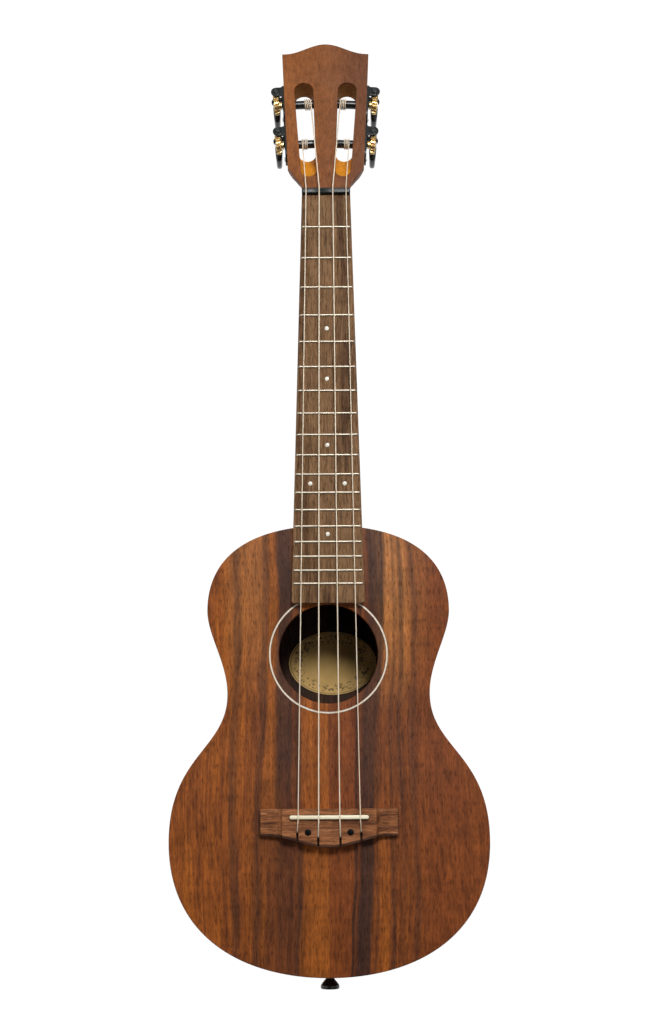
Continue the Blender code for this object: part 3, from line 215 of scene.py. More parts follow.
def slot_edge(edge, along):
    """A slot edge's distance from the headstock's middle."""
    return edge[0] + (edge[1] - edge[0]) * (along - SLOT_BOTTOM) / (SLOT_TOP - SLOT_BOTTOM)


def tuner_matrix(side, along):
    """Where a tuner's own axes lie."""
    place = Matrix.Translation((side * head_half(along), along, -ROLLER_DEPTH))
    return HEAD @ place @ Matrix.Rotation(-side * HEAD_TAPER, 4, "Z")


def outward(side):
    """The turn that points Z out of the headstock's side."""
    return Matrix.Rotation(side * pi / 2, 4, "Y")


# Outlines


def arc(centre, radius, start, end, steps):
    """Points along an arc."""
    turns = [start + (end - start) / steps * i for i in range(steps + 1)]
    return [(centre[0] + radius * cos(turn), centre[1] + radius * sin(turn)) for turn in turns]


def circle(centre, radius, steps, stretch=1.0):
    """Points once round a circle, or an oval stretched along X."""
    points = arc((0, 0), radius, 0, 2 * pi, steps)[:-1]
    return [(centre[0] + x * stretch, centre[1] + y) for x, y in points]


def stadium(length, width, y=0.0, steps=14):
    """A round-ended strip along X."""
    radius = width / 2
    reach = length / 2 - radius
    right = arc((reach, y), radius, -pi / 2, pi / 2, steps)
    return right + arc((-reach, y), radius, pi / 2, 3 * pi / 2, steps)


def mirrored(points):
    """The points' mirror images across the centre line, in reverse."""
    return [(-x, y) for x, y in reversed(points)]


def inset(loop, distance):
    """A closed loop moved to its left by a distance."""
    points = [Vector(point) for point in loop]
    moved = []
    for before, here, after in zip(points[-1:] + points, points, points[1:] + points[:1]):
        first = (here - before).normalized()
        second = (after - here).normalized()
        normal = Vector((-first.y, first.x))
        left = normal + Vector((-second.y, second.x))
        left = (left if left.length > 1e-9 else normal).normalized()
        moved.append(here + left * (distance / max(left.dot(normal), 0.4)))
    return moved


def area(loop):
    """Signed area of a loop."""
    return sum(a[0] * b[1] - b[0] * a[1] for a, b in zip(loop, loop[1:] + loop[:1])) / 2


def rounded_profile(corners, radius, steps=3):
    """A profile of (radius, z) corners with its inner corners rounded."""
    corners = [Vector(corner) for corner in corners]
    points = corners[:1]
    for before, here, after in zip(corners, corners[1:], corners[2:]):
        into = here - before
        out = after - here
        reach = min(radius, into.length * 0.45, out.length * 0.45)
        start = here - into.normalized() * reach
        end = here + out.normalized() * reach
        for i in range(steps + 1):
            t = i / steps
            points.append(start * (1 - t) ** 2 + here * 2 * t * (1 - t) + end * t**2)
    return points + corners[-1:]


# Mesh making


def mesh_from(verts, faces, flat=()):
    """A mesh from points and faces, with the faces in flat not smoothed."""
    mesh = bpy.data.meshes.new("shape")
    mesh.from_pydata([tuple(v) for v in verts], [], faces)
    flat = set(flat)
    mesh.polygons.foreach_set("use_smooth", [i not in flat for i in range(len(faces))])
    shape = bmesh.new()
    shape.from_mesh(mesh)
    bmesh.ops.recalc_face_normals(shape, faces=shape.faces)
    shape.to_mesh(mesh)
    shape.free()
    mesh.set_sharp_from_angle(angle=SHARP)
    return mesh


def band(lower, upper):
    """Quads between two rings of point numbers."""
    return list(zip(lower, lower[1:] + lower[:1], upper[1:] + upper[:1], upper))


def prism(outer, low, high, top=0.0, bottom=0.0, holes=(), back_holes=None, steps=4):
    """A plate between two heights with rounded edges and holes, which may differ at the back."""
    loops = [(list(outer), list(outer))]
    loops += [(list(front), list(rear)) for front, rear in zip(holes, back_holes or holes)]
    for k, (front, rear) in enumerate(loops):
        if area(front) * (-1 if k else 1) < 0:
            loops[k] = (front[::-1], rear[::-1])
    turns = [pi / 2 * i / steps for i in range(steps + 1)]
    levels = [(low + bottom * (1 - sin(turn)), bottom * (1 - cos(turn))) for turn in reversed(turns)]
    levels += [(high - top * (1 - sin(turn)), top * (1 - cos(turn))) for turn in turns]
    kept = levels[:1]
    for level in levels[1:]:
        if abs(level[0] - kept[-1][0]) + abs(level[1] - kept[-1][1]) > 1e-7:
            kept.append(level)
    verts, faces, flat = [], [], []
    ends = ([], [])
    for front, rear in loops:
        rows = []
        for z, inward in kept:
            share = (z - low) / (high - low)
            ring = [Vector(b).lerp(Vector(f), share) for f, b in zip(front, rear)]
            rows.append(list(range(len(verts), len(verts) + len(ring))))
            verts += [(p.x, p.y, z) for p in inset(ring, inward)]
        for lower, upper in zip(rows, rows[1:]):
            faces += band(lower, upper)
        ends[0].append(rows[0])
        ends[1].append(rows[-1])
    for groups in ends:
        index = [i for group in groups for i in group]
        for triangle in tessellate_polygon([[Vector(verts[i]) for i in group] for group in groups]):
            flat.append(len(faces))
            faces.append(tuple(index[i] for i in triangle))
    return mesh_from(verts, faces, flat)


def loft(rings, caps=True):
    """A skin over rings of equally many points."""
    count = len(rings[0])
    rows = [list(range(k * count, (k + 1) * count)) for k in range(len(rings))]
    faces = [face for lower, upper in zip(rows, rows[1:]) for face in band(lower, upper)]
    flat = []
    if caps:
        flat = [len(faces), len(faces) + 1]
        faces += [tuple(rows[0]), tuple(rows[-1])]
    return mesh_from([point for ring in rings for point in ring], faces, flat)


def lathe(profile, steps=48, caps=True):
    """A shape turned about Z from (radius, z) points."""
    return loft([[(*p, z) for p in circle((0, 0), max(radius, 1e-6), steps)] for radius, z in profile], caps)


def puck(radius, low, high, rounding):
    """A short round-edged cylinder on Z."""
    return lathe(rounded_profile([(0.0, low), (radius, low), (radius, high), (0.0, high)], rounding), 36)


def merged(meshes):
    """One mesh from several."""
    shape = bmesh.new()
    for mesh in meshes:
        shape.from_mesh(mesh)
    made = bpy.data.meshes.new("shape")
    shape.to_mesh(made)
    shape.free()
    return made


def placed(mesh, matrix):
    """The mesh moved by a matrix, its faces still pointing out."""
    mesh.transform(matrix)
    if matrix.determinant() < 0:
        mesh.flip_normals()
    return mesh


def cut(mesh, cutter, material=None, operation="DIFFERENCE"):
    """The mesh with another cut out of it or kept in common, the new faces in a material."""
    if material:
        cutter.materials.append(material)
    piece = bpy.data.objects.new("whole", mesh)
    tool = bpy.data.objects.new("tool", cutter)
    for obj in (piece, tool):
        bpy.context.scene.collection.objects.link(obj)
    step = piece.modifiers.new("step", "BOOLEAN")
    step.operation = operation
    step.object = tool
    step.solver = "EXACT"
    step.material_mode = "TRANSFER"
    bpy.context.view_layer.update()
    made = bpy.data.meshes.new_from_object(piece.evaluated_get(bpy.context.evaluated_depsgraph_get()))
    bpy.data.objects.remove(piece)
    bpy.data.objects.remove(tool)
    return made


def show(name, mesh, material, body=MAIN, slot=None, node=None):
    """Put a finished piece on its body; with a slot it stands in for a node, its namesake by default."""
    obj = bpy.data.objects.new(name + "_piece" if slot and not node else name, mesh)
    bpy.context.scene.collection.objects.link(obj)
    mesh.name = name + "_shape"
    if not mesh.materials:
        mesh.materials.append(material)
    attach(obj, body)
    if slot:
        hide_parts(node or name)


# Node materials


class Nodes:
    """A node tree under construction."""

    def __init__(self, tree):
        self.tree = tree

    def put(self, socket, value):
        """Link or set an input."""
        if isinstance(value, bpy.types.NodeSocket):
            self.tree.links.new(value, socket)
        else:
            socket.default_value = value

    def add(self, kind, *inputs, named=None, **settings):
        """A node with its settings and its inputs, in order or by name or number."""
        node = self.tree.nodes.new("ShaderNode" + kind)
        for name, value in settings.items():
            setattr(node, name, value)
        for key, value in [*enumerate(inputs), *(named or {}).items()]:
            self.put(node.inputs[key], value)
        return node

    def math(self, operation, a, b=0.0, c=0.0):
        return self.add("Math", a, b, c, operation=operation).outputs[0]

    def times(self, a, b):
        return self.math("MULTIPLY", a, b)

    def plus(self, value, weight, base):
        """The base with a weighted value added."""
        return self.math("MULTIPLY_ADD", value, weight, base)

    def split(self, vector):
        return self.add("SeparateXYZ", vector).outputs

    def join(self, x, y, z):
        return self.add("CombineXYZ", x, y, z).outputs[0]

    def noise(self, vector, scale=1.0, detail=2.0, roughness=0.5, distortion=0.0):
        return self.add("TexNoise", named={
            "Vector": vector, "Scale": scale, "Detail": detail, "Roughness": roughness, "Distortion": distortion,
        }).outputs[0]

    def range(self, value, low, high, to_low=0.0, to_high=1.0):
        return self.add("MapRange", value, low, high, to_low, to_high).outputs[0]

    def ramp(self, value, stops):
        """Colours, or grey levels, between (position, tone) stops."""
        node = self.add("ValToRGB", value)
        points = node.color_ramp.elements
        while len(points) < len(stops):
            points.new(0.5)
        for point, (position, _) in zip(points, stops):
            point.position = position
        for point, (_, tone) in zip(points, stops):
            point.color = (*((tone,) * 3 if isinstance(tone, float) else tone), 1)
        return node.outputs[0]

    def mix(self, factor, a, b, mode="MIX"):
        a, b = ((*tone, 1) if isinstance(tone, tuple) else tone for tone in (a, b))
        return self.add("Mix", named={0: factor, 6: a, 7: b}, data_type="RGBA", blend_type=mode).outputs[2]

    def tint(self, colour, factors):
        return self.mix(1.0, colour, factors, "MULTIPLY")


class Look(Nodes):
    """A material's nodes, with places in the object's own coordinates."""

    def __init__(self, name):
        self.material = bpy.data.materials.new(name)
        self.material.use_nodes = True
        super().__init__(self.material.node_tree)
        self.tree.nodes.clear()
        self.shader = self.add("BsdfPrincipled")
        self.out = self.add("OutputMaterial", self.shader.outputs[0])
        self.place = self.add("TexCoord").outputs["Object"]

    def scaled(self, factors, shift=(0.0, 0.0, 0.0)):
        return self.add("Mapping", named={"Vector": self.place, "Scale": factors, "Location": shift}).outputs[0]

    def edges(self, low=0.52, high=0.60):
        """One on worn convex edges and zero elsewhere."""
        return self.range(self.add("NewGeometry").outputs["Pointiness"], low, high)

    def bump(self, height, distance, strength=1.0, rounding=0.0):
        """Surface relief, over edges rounded by a small radius."""
        node = self.add("Bump", named={"Height": height, "Distance": distance, "Strength": strength})
        if rounding:
            self.put(node.inputs["Normal"], self.add("Bevel", rounding, samples=4).outputs[0])
        self.put(self.shader.inputs["Normal"], node.outputs[0])

    def surface(self, **values):
        """Set the shader's inputs by name, with spaces as underscores, and return the material."""
        for name, value in values.items():
            self.put(self.shader.inputs[name.replace("_", " ")], value)
        return self.material


def wood(name, tones, grain="y", seed=0.0, pores=0.5, contrast=1.0, rough=0.50, rounding=0.0,
         streak=150.0, figure=0.10, gloss=0.14, speckle=0.8, paint=None):
    """Open-pored wood with streaks, ragged lines, pores and figure along one axis."""
    look = Look(name)
    x, y, z = look.split(look.place)
    if grain == "x":
        x, y = y, x
    if grain == "z":
        y, z = z, y
    if grain == "rim":
        x, y, z = z, look.times(look.math("ARCTAN2", x, y), 0.11), 0.0
    z = look.math("ADD", z, seed * 3.7)

    def centred(*arguments):
        return look.math("SUBTRACT", look.noise(*arguments), 0.5)

    drift = centred(look.join(look.times(x, 12.0), look.times(y, 6.5), seed), 1.0, 2.0)
    ragged = centred(look.join(look.times(x, 90.0), look.times(y, 34.0), seed), 1.0, 3.0)
    across = look.plus(drift, 0.013, look.plus(ragged, 0.0022, x))

    def layer(scale, stretch, detail, roughness=0.55):
        return centred(look.join(across, look.times(y, stretch), z), scale, detail, roughness)

    bands = layer(streak * 0.33, 0.06, 2.0)
    streaks = layer(streak, 0.045, 4.0, 0.62)
    lines = layer(streak * 4.2, 0.050, 3.0, 0.65)
    fibres = layer(2300.0, 0.10, 2.0)
    mottle = layer(330.0, 0.30, 3.0, 0.6)
    pits = look.range(layer(1500.0, 0.13, 2.0, 0.5), 0.050, 0.160)
    ripple = centred(look.join(look.times(x, 0.28), y, z), 125.0, 2.0, 0.5, 0.8)
    cloud = centred(look.scaled((26.0, 9.0, 26.0), (seed, seed, seed)), 1.0, 3.0)
    tone = 0.5
    for part, weight in ((bands, 1.4), (streaks, 1.6), (lines, 0.7), (cloud, 0.5)):
        tone = look.plus(part, weight * contrast, tone)
    steps = len(tones) - 1
    base = look.ramp(tone, [(0.16 + 0.68 * i / steps, item) for i, item in enumerate(tones)])
    if paint:
        base = paint(look, base, across, y, streaks)
    value = look.plus(ripple, figure * 3.0, 1.02)
    for part, weight in ((lines, 1.7), (fibres, 1.2), (mottle, speckle)):
        value = look.plus(part, weight * contrast, value)
    colour = look.tint(base, look.join(value, value, value))
    colour = look.mix(look.times(pits, pores), colour, look.tint(colour, (0.34, 0.28, 0.26)))
    colour = look.mix(look.times(look.edges(), 0.45), colour, look.tint(colour, (1.45, 1.38, 1.30)))
    height = look.plus(ripple, 0.12, look.plus(pits, -0.8, look.times(fibres, 0.55)))
    look.bump(height, 0.00006, 0.55, rounding)
    roughness = look.plus(pits, 0.15, look.plus(fibres, 0.16, rough))
    return look.surface(Base_Color=colour, Roughness=roughness, Specular_IOR_Level=gloss)


def paint_top(look, base, across, along, streaks):
    """The soundboard's centre join and its long streaks, uneven along the grain, and golden grain bands with a painted
    sheen that fades in towards the neck.
    """
    ragged = look.plus(streaks, 0.006, across)
    slow = look.noise(look.join(0.0, look.times(along, 15.0), 4.4), 1.0, 2.0)
    side = look.split(look.place)[0]
    bridge = sy(SADDLE_STATION)

    def near(place, middle, half, soft):
        off = look.math("ABSOLUTE", look.math("SUBTRACT", place, middle))
        return look.range(off, half + soft, half)

    # Golden bands: partly real grain, partly a painted sheen that fades in towards the neck
    for middle, half, soft, depth, start, tone in GOLDEN_BANDS_AND_SHEEN:
        upper = look.times(look.range(along, start, start + 0.07), depth)
        base = look.mix(look.times(near(ragged, middle, half, soft), upper), base, tone)
    base = look.mix(look.range(across, 0.050, 0.068, 0.0, 0.80), base, RED)
    right = look.times(look.range(side, -SEAM_HALF, SEAM_HALF), look.range(across, 0.032, 0.016))
    base = look.mix(look.times(right, 0.75), base, RED)
    left = look.times(look.range(side, SEAM_HALF, -SEAM_HALF), look.range(across, -0.026, -0.014))
    base = look.mix(look.times(left, 0.65), base, GOLD)
    for middle, slant, half, soft, depth, tail in STREAKS:
        inside = near(look.plus(along, -slant, ragged), middle, half, soft)
        fade = look.range(along, bridge - 0.01, bridge + 0.04, tail, 1.0)
        patch = look.times(look.range(slow, 0.30, 0.62, 0.80, 1.0), depth)
        base = look.mix(look.times(look.times(inside, fade), patch), base, STREAK_TONE)
    seam = look.range(look.math("ABSOLUTE", side), 0.00022, 0.00006)
    return look.mix(look.times(seam, 0.45), base, STREAK_TONE)


def paint_back_inner_shade(look, base, across, along, streaks):
    """The back's inner face: bare wood under painted shade, as inside the closed body."""
    inner = look.range(look.split(look.place)[2], PLATE - 0.0003, PLATE - 0.0001)
    # Painted shade: the inner face is darkened because the inside of the body lies in shade
    return look.mix(inner, base, look.tint(base, (0.16, 0.24, 0.60)))


def paint_face(look, base, across, along, streaks):
    """The headstock's face: warm on the bass side, browner on the treble side."""
    share = look.range(look.plus(streaks, 0.020, across), -0.018, 0.026)
    return look.mix(share, look.tint(base, (1.06, 1.04, 0.84)), look.tint(base, (0.68, 0.74, 0.98)))


def paint_bridge_edge_shade(look, base, across, along, streaks):
    """Painted shade along the bridge's rounded rear edge and ends."""
    x, y, _ = look.split(look.place)
    out = look.math("ABSOLUTE", x)
    wave = look.math("COSINE", look.times(look.math("MINIMUM", out, BRIDGE_BELL), pi / 2 / BRIDGE_BELL))
    bulge = look.times(look.times(wave, wave), BRIDGE_WING_REAR - BRIDGE_CENTRE_REAR)
    room = look.math("SUBTRACT", look.math("SUBTRACT", y, sy(SADDLE_STATION + BRIDGE_WING_REAR)), bulge)
    room = look.math("MINIMUM", room, look.math("SUBTRACT", BRIDGE_WIDTH / 2 + 0.0010, out))
    # Painted shade: the tone darkens near the rear edge and the ends, where shadow falls
    return look.mix(look.range(room, 0.0019, 0.0013, 0.0, 0.90), base, BRIDGE_EDGE_SHADE)


def paint_slot_shade(look, base, across, along, streaks):
    """Slot walls: bare amber wood on the ramps, with painted shade towards the headstock's end."""
    # Painted shade: past the ramps the walls darken towards the headstock's end
    return look.mix(look.range(along, *RAMP_SHADE), base, look.tint(base, (0.50, 0.50, 1.60)))


def plastic(name, colour, rough, worn=(0.10, 0.10, 0.105), grain=0.05, rounding=0.0, coat=0.0, gloss=0.5):
    """Moulded or lacquered surface with fine haze, small scuffs and worn edges."""
    look = Look(name)
    haze = look.noise(look.place, 420.0, 3.0, 0.6)
    specks = look.noise(look.place, 5200.0, 2.0, 0.5)
    scuffs = look.range(look.noise(look.scaled((2600.0, 240.0, 900.0)), 1.0, 4.0, 0.7, 1.2), 0.62, 0.76)
    dark, light = (tuple(min(c * factor, 1) for c in colour) for factor in (0.80, 1.22))
    tone = look.ramp(haze, [(0.30, dark), (0.72, light)])
    tone = look.mix(look.times(look.edges(0.53, 0.66), 0.35), tone, worn)
    roughness = look.plus(scuffs, 0.16, look.plus(haze, grain * 2, rough - grain))
    look.bump(look.plus(scuffs, -0.4, specks), 0.00001, 0.35, rounding)
    return look.surface(
        Base_Color=tone, Roughness=roughness, Specular_IOR_Level=gloss, Coat_Weight=coat, Coat_Roughness=0.08)


def metal(name, colour, dull, rough, rounding=0.0, tarnish=0.5):
    """Bare metal with patchy tarnish and fine turning marks."""
    look = Look(name)
    cloud = look.noise(look.place, 260.0, 4.0, 0.65)
    lines = look.noise(look.scaled((600.0, 600.0, 9000.0)))
    specks = look.range(look.noise(look.place, 1900.0), 0.60, 0.74)
    tone = look.mix(look.times(look.range(cloud, 0.42, 0.68), tarnish), colour, dull)
    tone = look.mix(look.times(specks, 0.4), tone, dull)
    bright = tuple(min(c * 1.18, 1.0) for c in colour)
    tone = look.mix(look.times(look.edges(0.52, 0.62), 0.7), tone, bright)
    look.bump(look.plus(specks, -0.5, lines), 0.000012, 0.4, rounding)
    return look.surface(Base_Color=tone, Roughness=look.plus(cloud, 0.18, rough - 0.09), Metallic=1.0)


def satin(name, stops, scales, noise, haze, rough, relief):
    """A smooth surface whose tone, gloss and relief follow one noise."""
    look = Look(name)
    cloud = look.noise(look.scaled(scales), *noise)
    look.bump(cloud, 0.00001, relief)
    return look.surface(Base_Color=look.ramp(cloud, stops), Roughness=look.plus(cloud, haze, rough))


def pearl(name, light, dark):
    """Inlay with a soft mottle."""
    return satin(name, ((0.34, dark), (0.62, light)), (1.0, 1.0, 1.0), (900.0, 3.0, 0.6, 0.8), 0.15, 0.22, 0.25)


def ivory_look():
    """Moulded bone-coloured saddle with a faint grain."""
    look = Look("bone_saddle_look")
    grain = look.noise(look.scaled((60.0, 900.0, 900.0)), 1.0, 3.0, 0.6)
    cloud = look.noise(look.place, 160.0, 3.0, 0.5)
    tone = look.ramp(grain, [(0.32, (0.72, 0.62, 0.40)), (0.66, (0.86, 0.79, 0.58))])
    tone = look.mix(look.times(cloud, 0.25), tone, (0.90, 0.85, 0.70))
    look.bump(grain, 0.00001, 0.3)
    return look.surface(Base_Color=tone, Roughness=look.plus(cloud, 0.14, 0.26))


def paper_look(centre, reach):
    """An aged paper label with a plain border and specks."""
    look = Look("label_paper_look")
    x, y, _ = look.split(look.place)
    u = look.math("DIVIDE", look.math("SUBTRACT", x, centre[0]), reach[0])
    v = look.math("DIVIDE", look.math("SUBTRACT", y, centre[1]), reach[1])
    out = look.math("SQRT", look.math("ADD", look.times(u, u), look.times(v, v)))
    fibre = look.noise(look.place, 1500.0, 4.0, 0.7)
    cloud = look.noise(look.place, 70.0, 3.0, 0.6)
    tone = look.ramp(cloud, [(0.30, (0.56, 0.34, 0.10)), (0.70, (0.74, 0.47, 0.16))])
    tone = look.mix(look.times(fibre, 0.3), tone, (0.80, 0.53, 0.21))
    specks = look.range(look.noise(look.place, 620.0, 1.0, 0.4, 0.5), 0.565, 0.605)
    ring = look.times(look.range(out, 0.60, 0.72), look.range(out, 0.93, 0.90))
    tone = look.mix(look.times(look.times(specks, ring), 0.75), tone, (0.10, 0.065, 0.03))
    line = look.times(look.range(out, 0.945, 0.955), look.range(out, 0.975, 0.965))
    tone = look.mix(look.times(line, 0.7), tone, (0.12, 0.08, 0.035))
    look.bump(fibre, 0.00003, 0.5)
    return look.surface(Base_Color=tone, Roughness=look.plus(fibre, 0.1, 0.78))


UMBER = (0.098, 0.028, 0.009)
BROWN = (0.140, 0.038, 0.010)
RUST = (0.185, 0.050, 0.011)
RED = (0.170, 0.043, 0.010)
ORANGE = (0.245, 0.067, 0.011)
GOLD = (0.300, 0.086, 0.012)
# Gold brightened by a painted sheen
GOLD_SHEEN = (0.375, 0.140, 0.038)
STREAK_TONE = (0.041, 0.018, 0.012)
# Painted shade for the bridge's rear edge and ends
BRIDGE_EDGE_SHADE = (0.030, 0.012, 0.007)
RAMP_SHADE = (0.428, 0.437)
SEAM_HALF = 0.0001
# Middle, slant, half width, softness, depth, and what is left of it behind the bridge
STREAKS = (
    (-0.0318, 0.00, 0.0038, 0.0026, 0.92, 0.40),
    (-0.0252, 0.00, 0.0016, 0.0026, 0.50, 0.45),
    (-0.0218, 0.01, 0.0009, 0.0017, 0.85, 0.70),
    (-0.0636, 0.00, 0.0012, 0.0026, 0.60, 1.00),
    (-0.0440, 0.00, 0.0050, 0.0060, 0.12, 2.60),
    (-0.0470, 0.02, 0.0008, 0.0024, 0.50, 1.00),
    (0.0274, 0.040, 0.0036, 0.0028, 0.86, 1.10),
    (0.0175, 0.02, 0.0005, 0.0009, 0.85, 1.00),
    (0.0225, 0.03, 0.0018, 0.0025, 0.55, 0.60),
    (0.0490, 0.00, 0.0006, 0.0018, 0.62, 0.35),
    (0.0575, 0.00, 0.0007, 0.0022, 0.50, 1.00),
    (0.0430, 0.01, 0.0006, 0.0016, 0.45, 1.00),
    (0.0335, 0.02, 0.0005, 0.0014, 0.40, 1.00),
)
# Middle, half width, softness, depth, start along the grain and tone of the golden bands, which are partly golden grain
# and partly a painted sheen fading in towards the neck
GOLDEN_BANDS_AND_SHEEN = (
    (-0.0560, 0.0090, 0.0080, 0.55, 0.02, GOLD_SHEEN),
    (-0.0388, 0.0036, 0.0030, 0.70, -0.09, GOLD),
    (0.0425, 0.0085, 0.0050, 1.00, 0.02, GOLD_SHEEN),
    (0.0590, 0.0070, 0.0060, 0.55, 0.02, GOLD_SHEEN),
)

koa_top = wood(
    "koa_top_look", (UMBER, BROWN, RUST, ORANGE, GOLD),
    seed=1.3, pores=0.7, figure=0.15, contrast=0.70, speckle=1.7, paint=paint_top)
koa_back = wood("koa_back_look", (UMBER, BROWN, RUST, ORANGE, ORANGE), seed=4.1, paint=paint_back_inner_shade)
koa_rim = wood("koa_rim_look", (UMBER, BROWN, RUST, RUST, ORANGE), grain="rim", seed=7.7, pores=0.45, figure=0.14)
koa_face = wood(
    "koa_face_look", ((0.150, 0.048, 0.017), (0.205, 0.070, 0.024), (0.235, 0.083, 0.029)),
    seed=2.2, contrast=0.5, pores=0.25, rough=0.55, gloss=0.12, paint=paint_face)
neck_wood = wood(
    "mahogany_neck_look", ((0.105, 0.034, 0.013), (0.150, 0.048, 0.017), (0.180, 0.060, 0.021)),
    seed=5.0, contrast=0.7, pores=0.45, rounding=0.0005)
slot_wood = wood(
    "slot_wall_look", ((0.44, 0.170, 0.010), (0.55, 0.220, 0.014), (0.62, 0.255, 0.018)),
    seed=6.1, contrast=0.5, pores=0.2, rough=0.60, gloss=0.08, paint=paint_slot_shade)
board_wood = wood(
    "walnut_board_look", ((0.084, 0.041, 0.019), (0.136, 0.072, 0.033), (0.196, 0.108, 0.052), (0.150, 0.080, 0.037)),
    seed=3.3, contrast=0.9, pores=0.6, rough=0.60, streak=260.0, gloss=0.08)
bridge_wood = wood(
    "walnut_bridge_look", ((0.080, 0.026, 0.010), (0.205, 0.076, 0.028), (0.310, 0.128, 0.053)),
    grain="x", seed=8.4, contrast=0.90, pores=0.6, rough=0.55, streak=330.0, rounding=0.0003, paint=paint_bridge_edge_shade)
slot_shade = wood(
    "string_slot_look", ((0.018, 0.009, 0.006), (0.030, 0.014, 0.008), (0.040, 0.018, 0.010)),
    grain="x", seed=8.4, pores=0.6, rough=0.70)
block_wood = wood(
    "mahogany_block_look", ((0.110, 0.040, 0.018), (0.150, 0.056, 0.024), (0.180, 0.070, 0.030)),
    grain="z", seed=9.2, contrast=0.8, rough=0.70, rounding=0.0006)
brace_wood = wood(
    "spruce_brace_look", ((0.36, 0.21, 0.10), (0.48, 0.30, 0.15), (0.55, 0.37, 0.20)),
    grain="x", seed=0.4, contrast=0.5, pores=0.15, rough=0.75, streak=500.0, rounding=0.0006)
fret_metal = metal("nickel_fret_look", (0.50, 0.44, 0.35), (0.32, 0.28, 0.22), 0.46, tarnish=0.40)
brass = metal("brass_look", (0.78, 0.56, 0.26), (0.30, 0.19, 0.07), 0.38, rounding=0.00012, tarnish=0.70)
steel = metal("steel_look", (0.60, 0.60, 0.60), (0.36, 0.36, 0.36), 0.30, tarnish=0.4)
black_nut = plastic("black_nut_look", (0.012, 0.015, 0.014), 0.36, worn=(0.06, 0.07, 0.07), gloss=0.25)
black_metal = plastic(
    "black_plate_look", (0.008, 0.010, 0.010), 0.34, worn=(0.09, 0.10, 0.10), rounding=0.0001, gloss=0.32)
black_barrel = plastic("black_roller_look", (0.006, 0.006, 0.007), 0.30, worn=(0.05, 0.05, 0.055))
black_button = plastic("black_button_look", (0.005, 0.005, 0.006), 0.30, worn=(0.04, 0.04, 0.045), coat=0.2)
black_strap = plastic("black_strap_button_look", (0.006, 0.006, 0.007), 0.30)
black_dot = plastic("black_dot_look", (0.003, 0.003, 0.003), 0.36, worn=(0.02, 0.02, 0.02), grain=0.02, gloss=0.08)
purfling = plastic("dark_line_look", (0.020, 0.009, 0.005), 0.42)
clear_string = satin(
    "clear_string_look", ((0.3, (0.66, 0.54, 0.39)), (0.7, (0.82, 0.70, 0.54))), (800.0, 60.0, 800.0), (),
    0.12, 0.30, 0.3)
ivory = ivory_look()
ring_white = pearl("rosette_ring_look", (0.80, 0.68, 0.54), (0.62, 0.50, 0.38))
dot_white = pearl("position_dot_look", (0.78, 0.75, 0.66), (0.56, 0.53, 0.45))

# Body

# Place, and the reach of the curve into it and out of it
BODY_ANCHORS = (
    ((0.0, BODY_NECK), (-0.0510, 0.0), (0.0510, 0.0)),
    ((0.0830, 0.2966), (0.0, 0.0395), (0.0, -0.0171)),
    ((0.0689, 0.3543), (0.0, 0.0216), (0.0, -0.0367)),
    ((0.1079, 0.4518), (0.0, 0.0573), (0.0, -0.0629)),
    ((0.0, TAIL), (0.0574, 0.0), (-0.0574, 0.0)),
)
INNER_TIMBER = (
    "neck_block", "tail_block", "upper_top_brace", "lower_top_brace", "upper_back_brace", "lower_back_brace",
    "bridge_plate",
)


def half_outline(side, inward=0.0, steps=40):
    """Points of half the body's outline from the neck to the tail, moved inward."""
    path = []
    for (start, _, leaving), (end, arriving, _) in zip(BODY_ANCHORS, BODY_ANCHORS[1:]):
        a = Vector((start[0], sy(start[1])))
        d = Vector((end[0], sy(end[1])))
        b = a + Vector(leaving)
        c = d + Vector(arriving)
        for i in range(steps + (end[1] == TAIL)):
            t = i / steps
            r = 1 - t
            here = a * r**3 + b * 3 * r**2 * t + c * 3 * r * t**2 + d * t**3
            run = ((b - a) * r**2 + (c - b) * 2 * r * t + (d - c) * t**2).normalized()
            path.append((side * (here.x + run.y * inward), here.y - run.x * inward))
    return path


def make_body():
    """Soundboard, back, sides with kerfed linings, rosette, label and inner timber."""
    centre = (0, sy(HOLE_STATION))
    loop = half_outline(1) + half_outline(-1)[-2:0:-1]
    top = prism(loop, TOP - PLATE, TOP, 0.0009, holes=[circle(centre, HOLE_RADIUS, 120)], steps=5)
    show("soundboard", top, koa_top, slot="koa_top")
    show("back", prism(loop, 0.0, PLATE, bottom=0.0010, steps=5), koa_back, slot="koa_side")
    low, high = PLATE, TOP - PLATE
    for side, name in ((-1, "side_left"), (1, "side_right")):
        walls = zip(half_outline(side), half_outline(side, WALL))
        show(name, loft([[(*a, low), (*a, high), (*b, high), (*b, low)] for a, b in walls]), koa_rim, slot="koa_side")
        make_linings(side, name)
    for name in INNER_TIMBER:
        material, slot = (block_wood, "mahogany_block") if "block" in name else (brace_wood, "spruce_brace")
        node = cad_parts[name]
        node.data.materials.clear()
        node.data.materials.append(material)
    for name, outside, inside, rise, material in (
        ("rosette_ring", ROSETTE_OUTER, ROSETTE_INNER, 0.00006, ring_white),
        ("rosette_line_outer", ROSETTE_OUTER + ROSETTE_LINE, ROSETTE_OUTER, 0.00004, purfling),
        ("rosette_line_inner", ROSETTE_INNER, ROSETTE_INNER - ROSETTE_LINE, 0.00004, purfling),
    ):
        hole = circle(centre, inside, 160)
        ring = prism(circle(centre, outside, 160), TOP - INLAY_DEPTH, TOP + rise, 0.00004, holes=[hole], steps=2)
        show(name, ring, material)
    middle = (LABEL_X, sy(LABEL_STATION))
    width, height = LABEL_REACH
    paper = prism(circle(middle, height, 96, width / height), PLATE - 0.0001, PLATE + 0.0002, 0.00008)
    show("label", paper, paper_look(middle, LABEL_REACH))


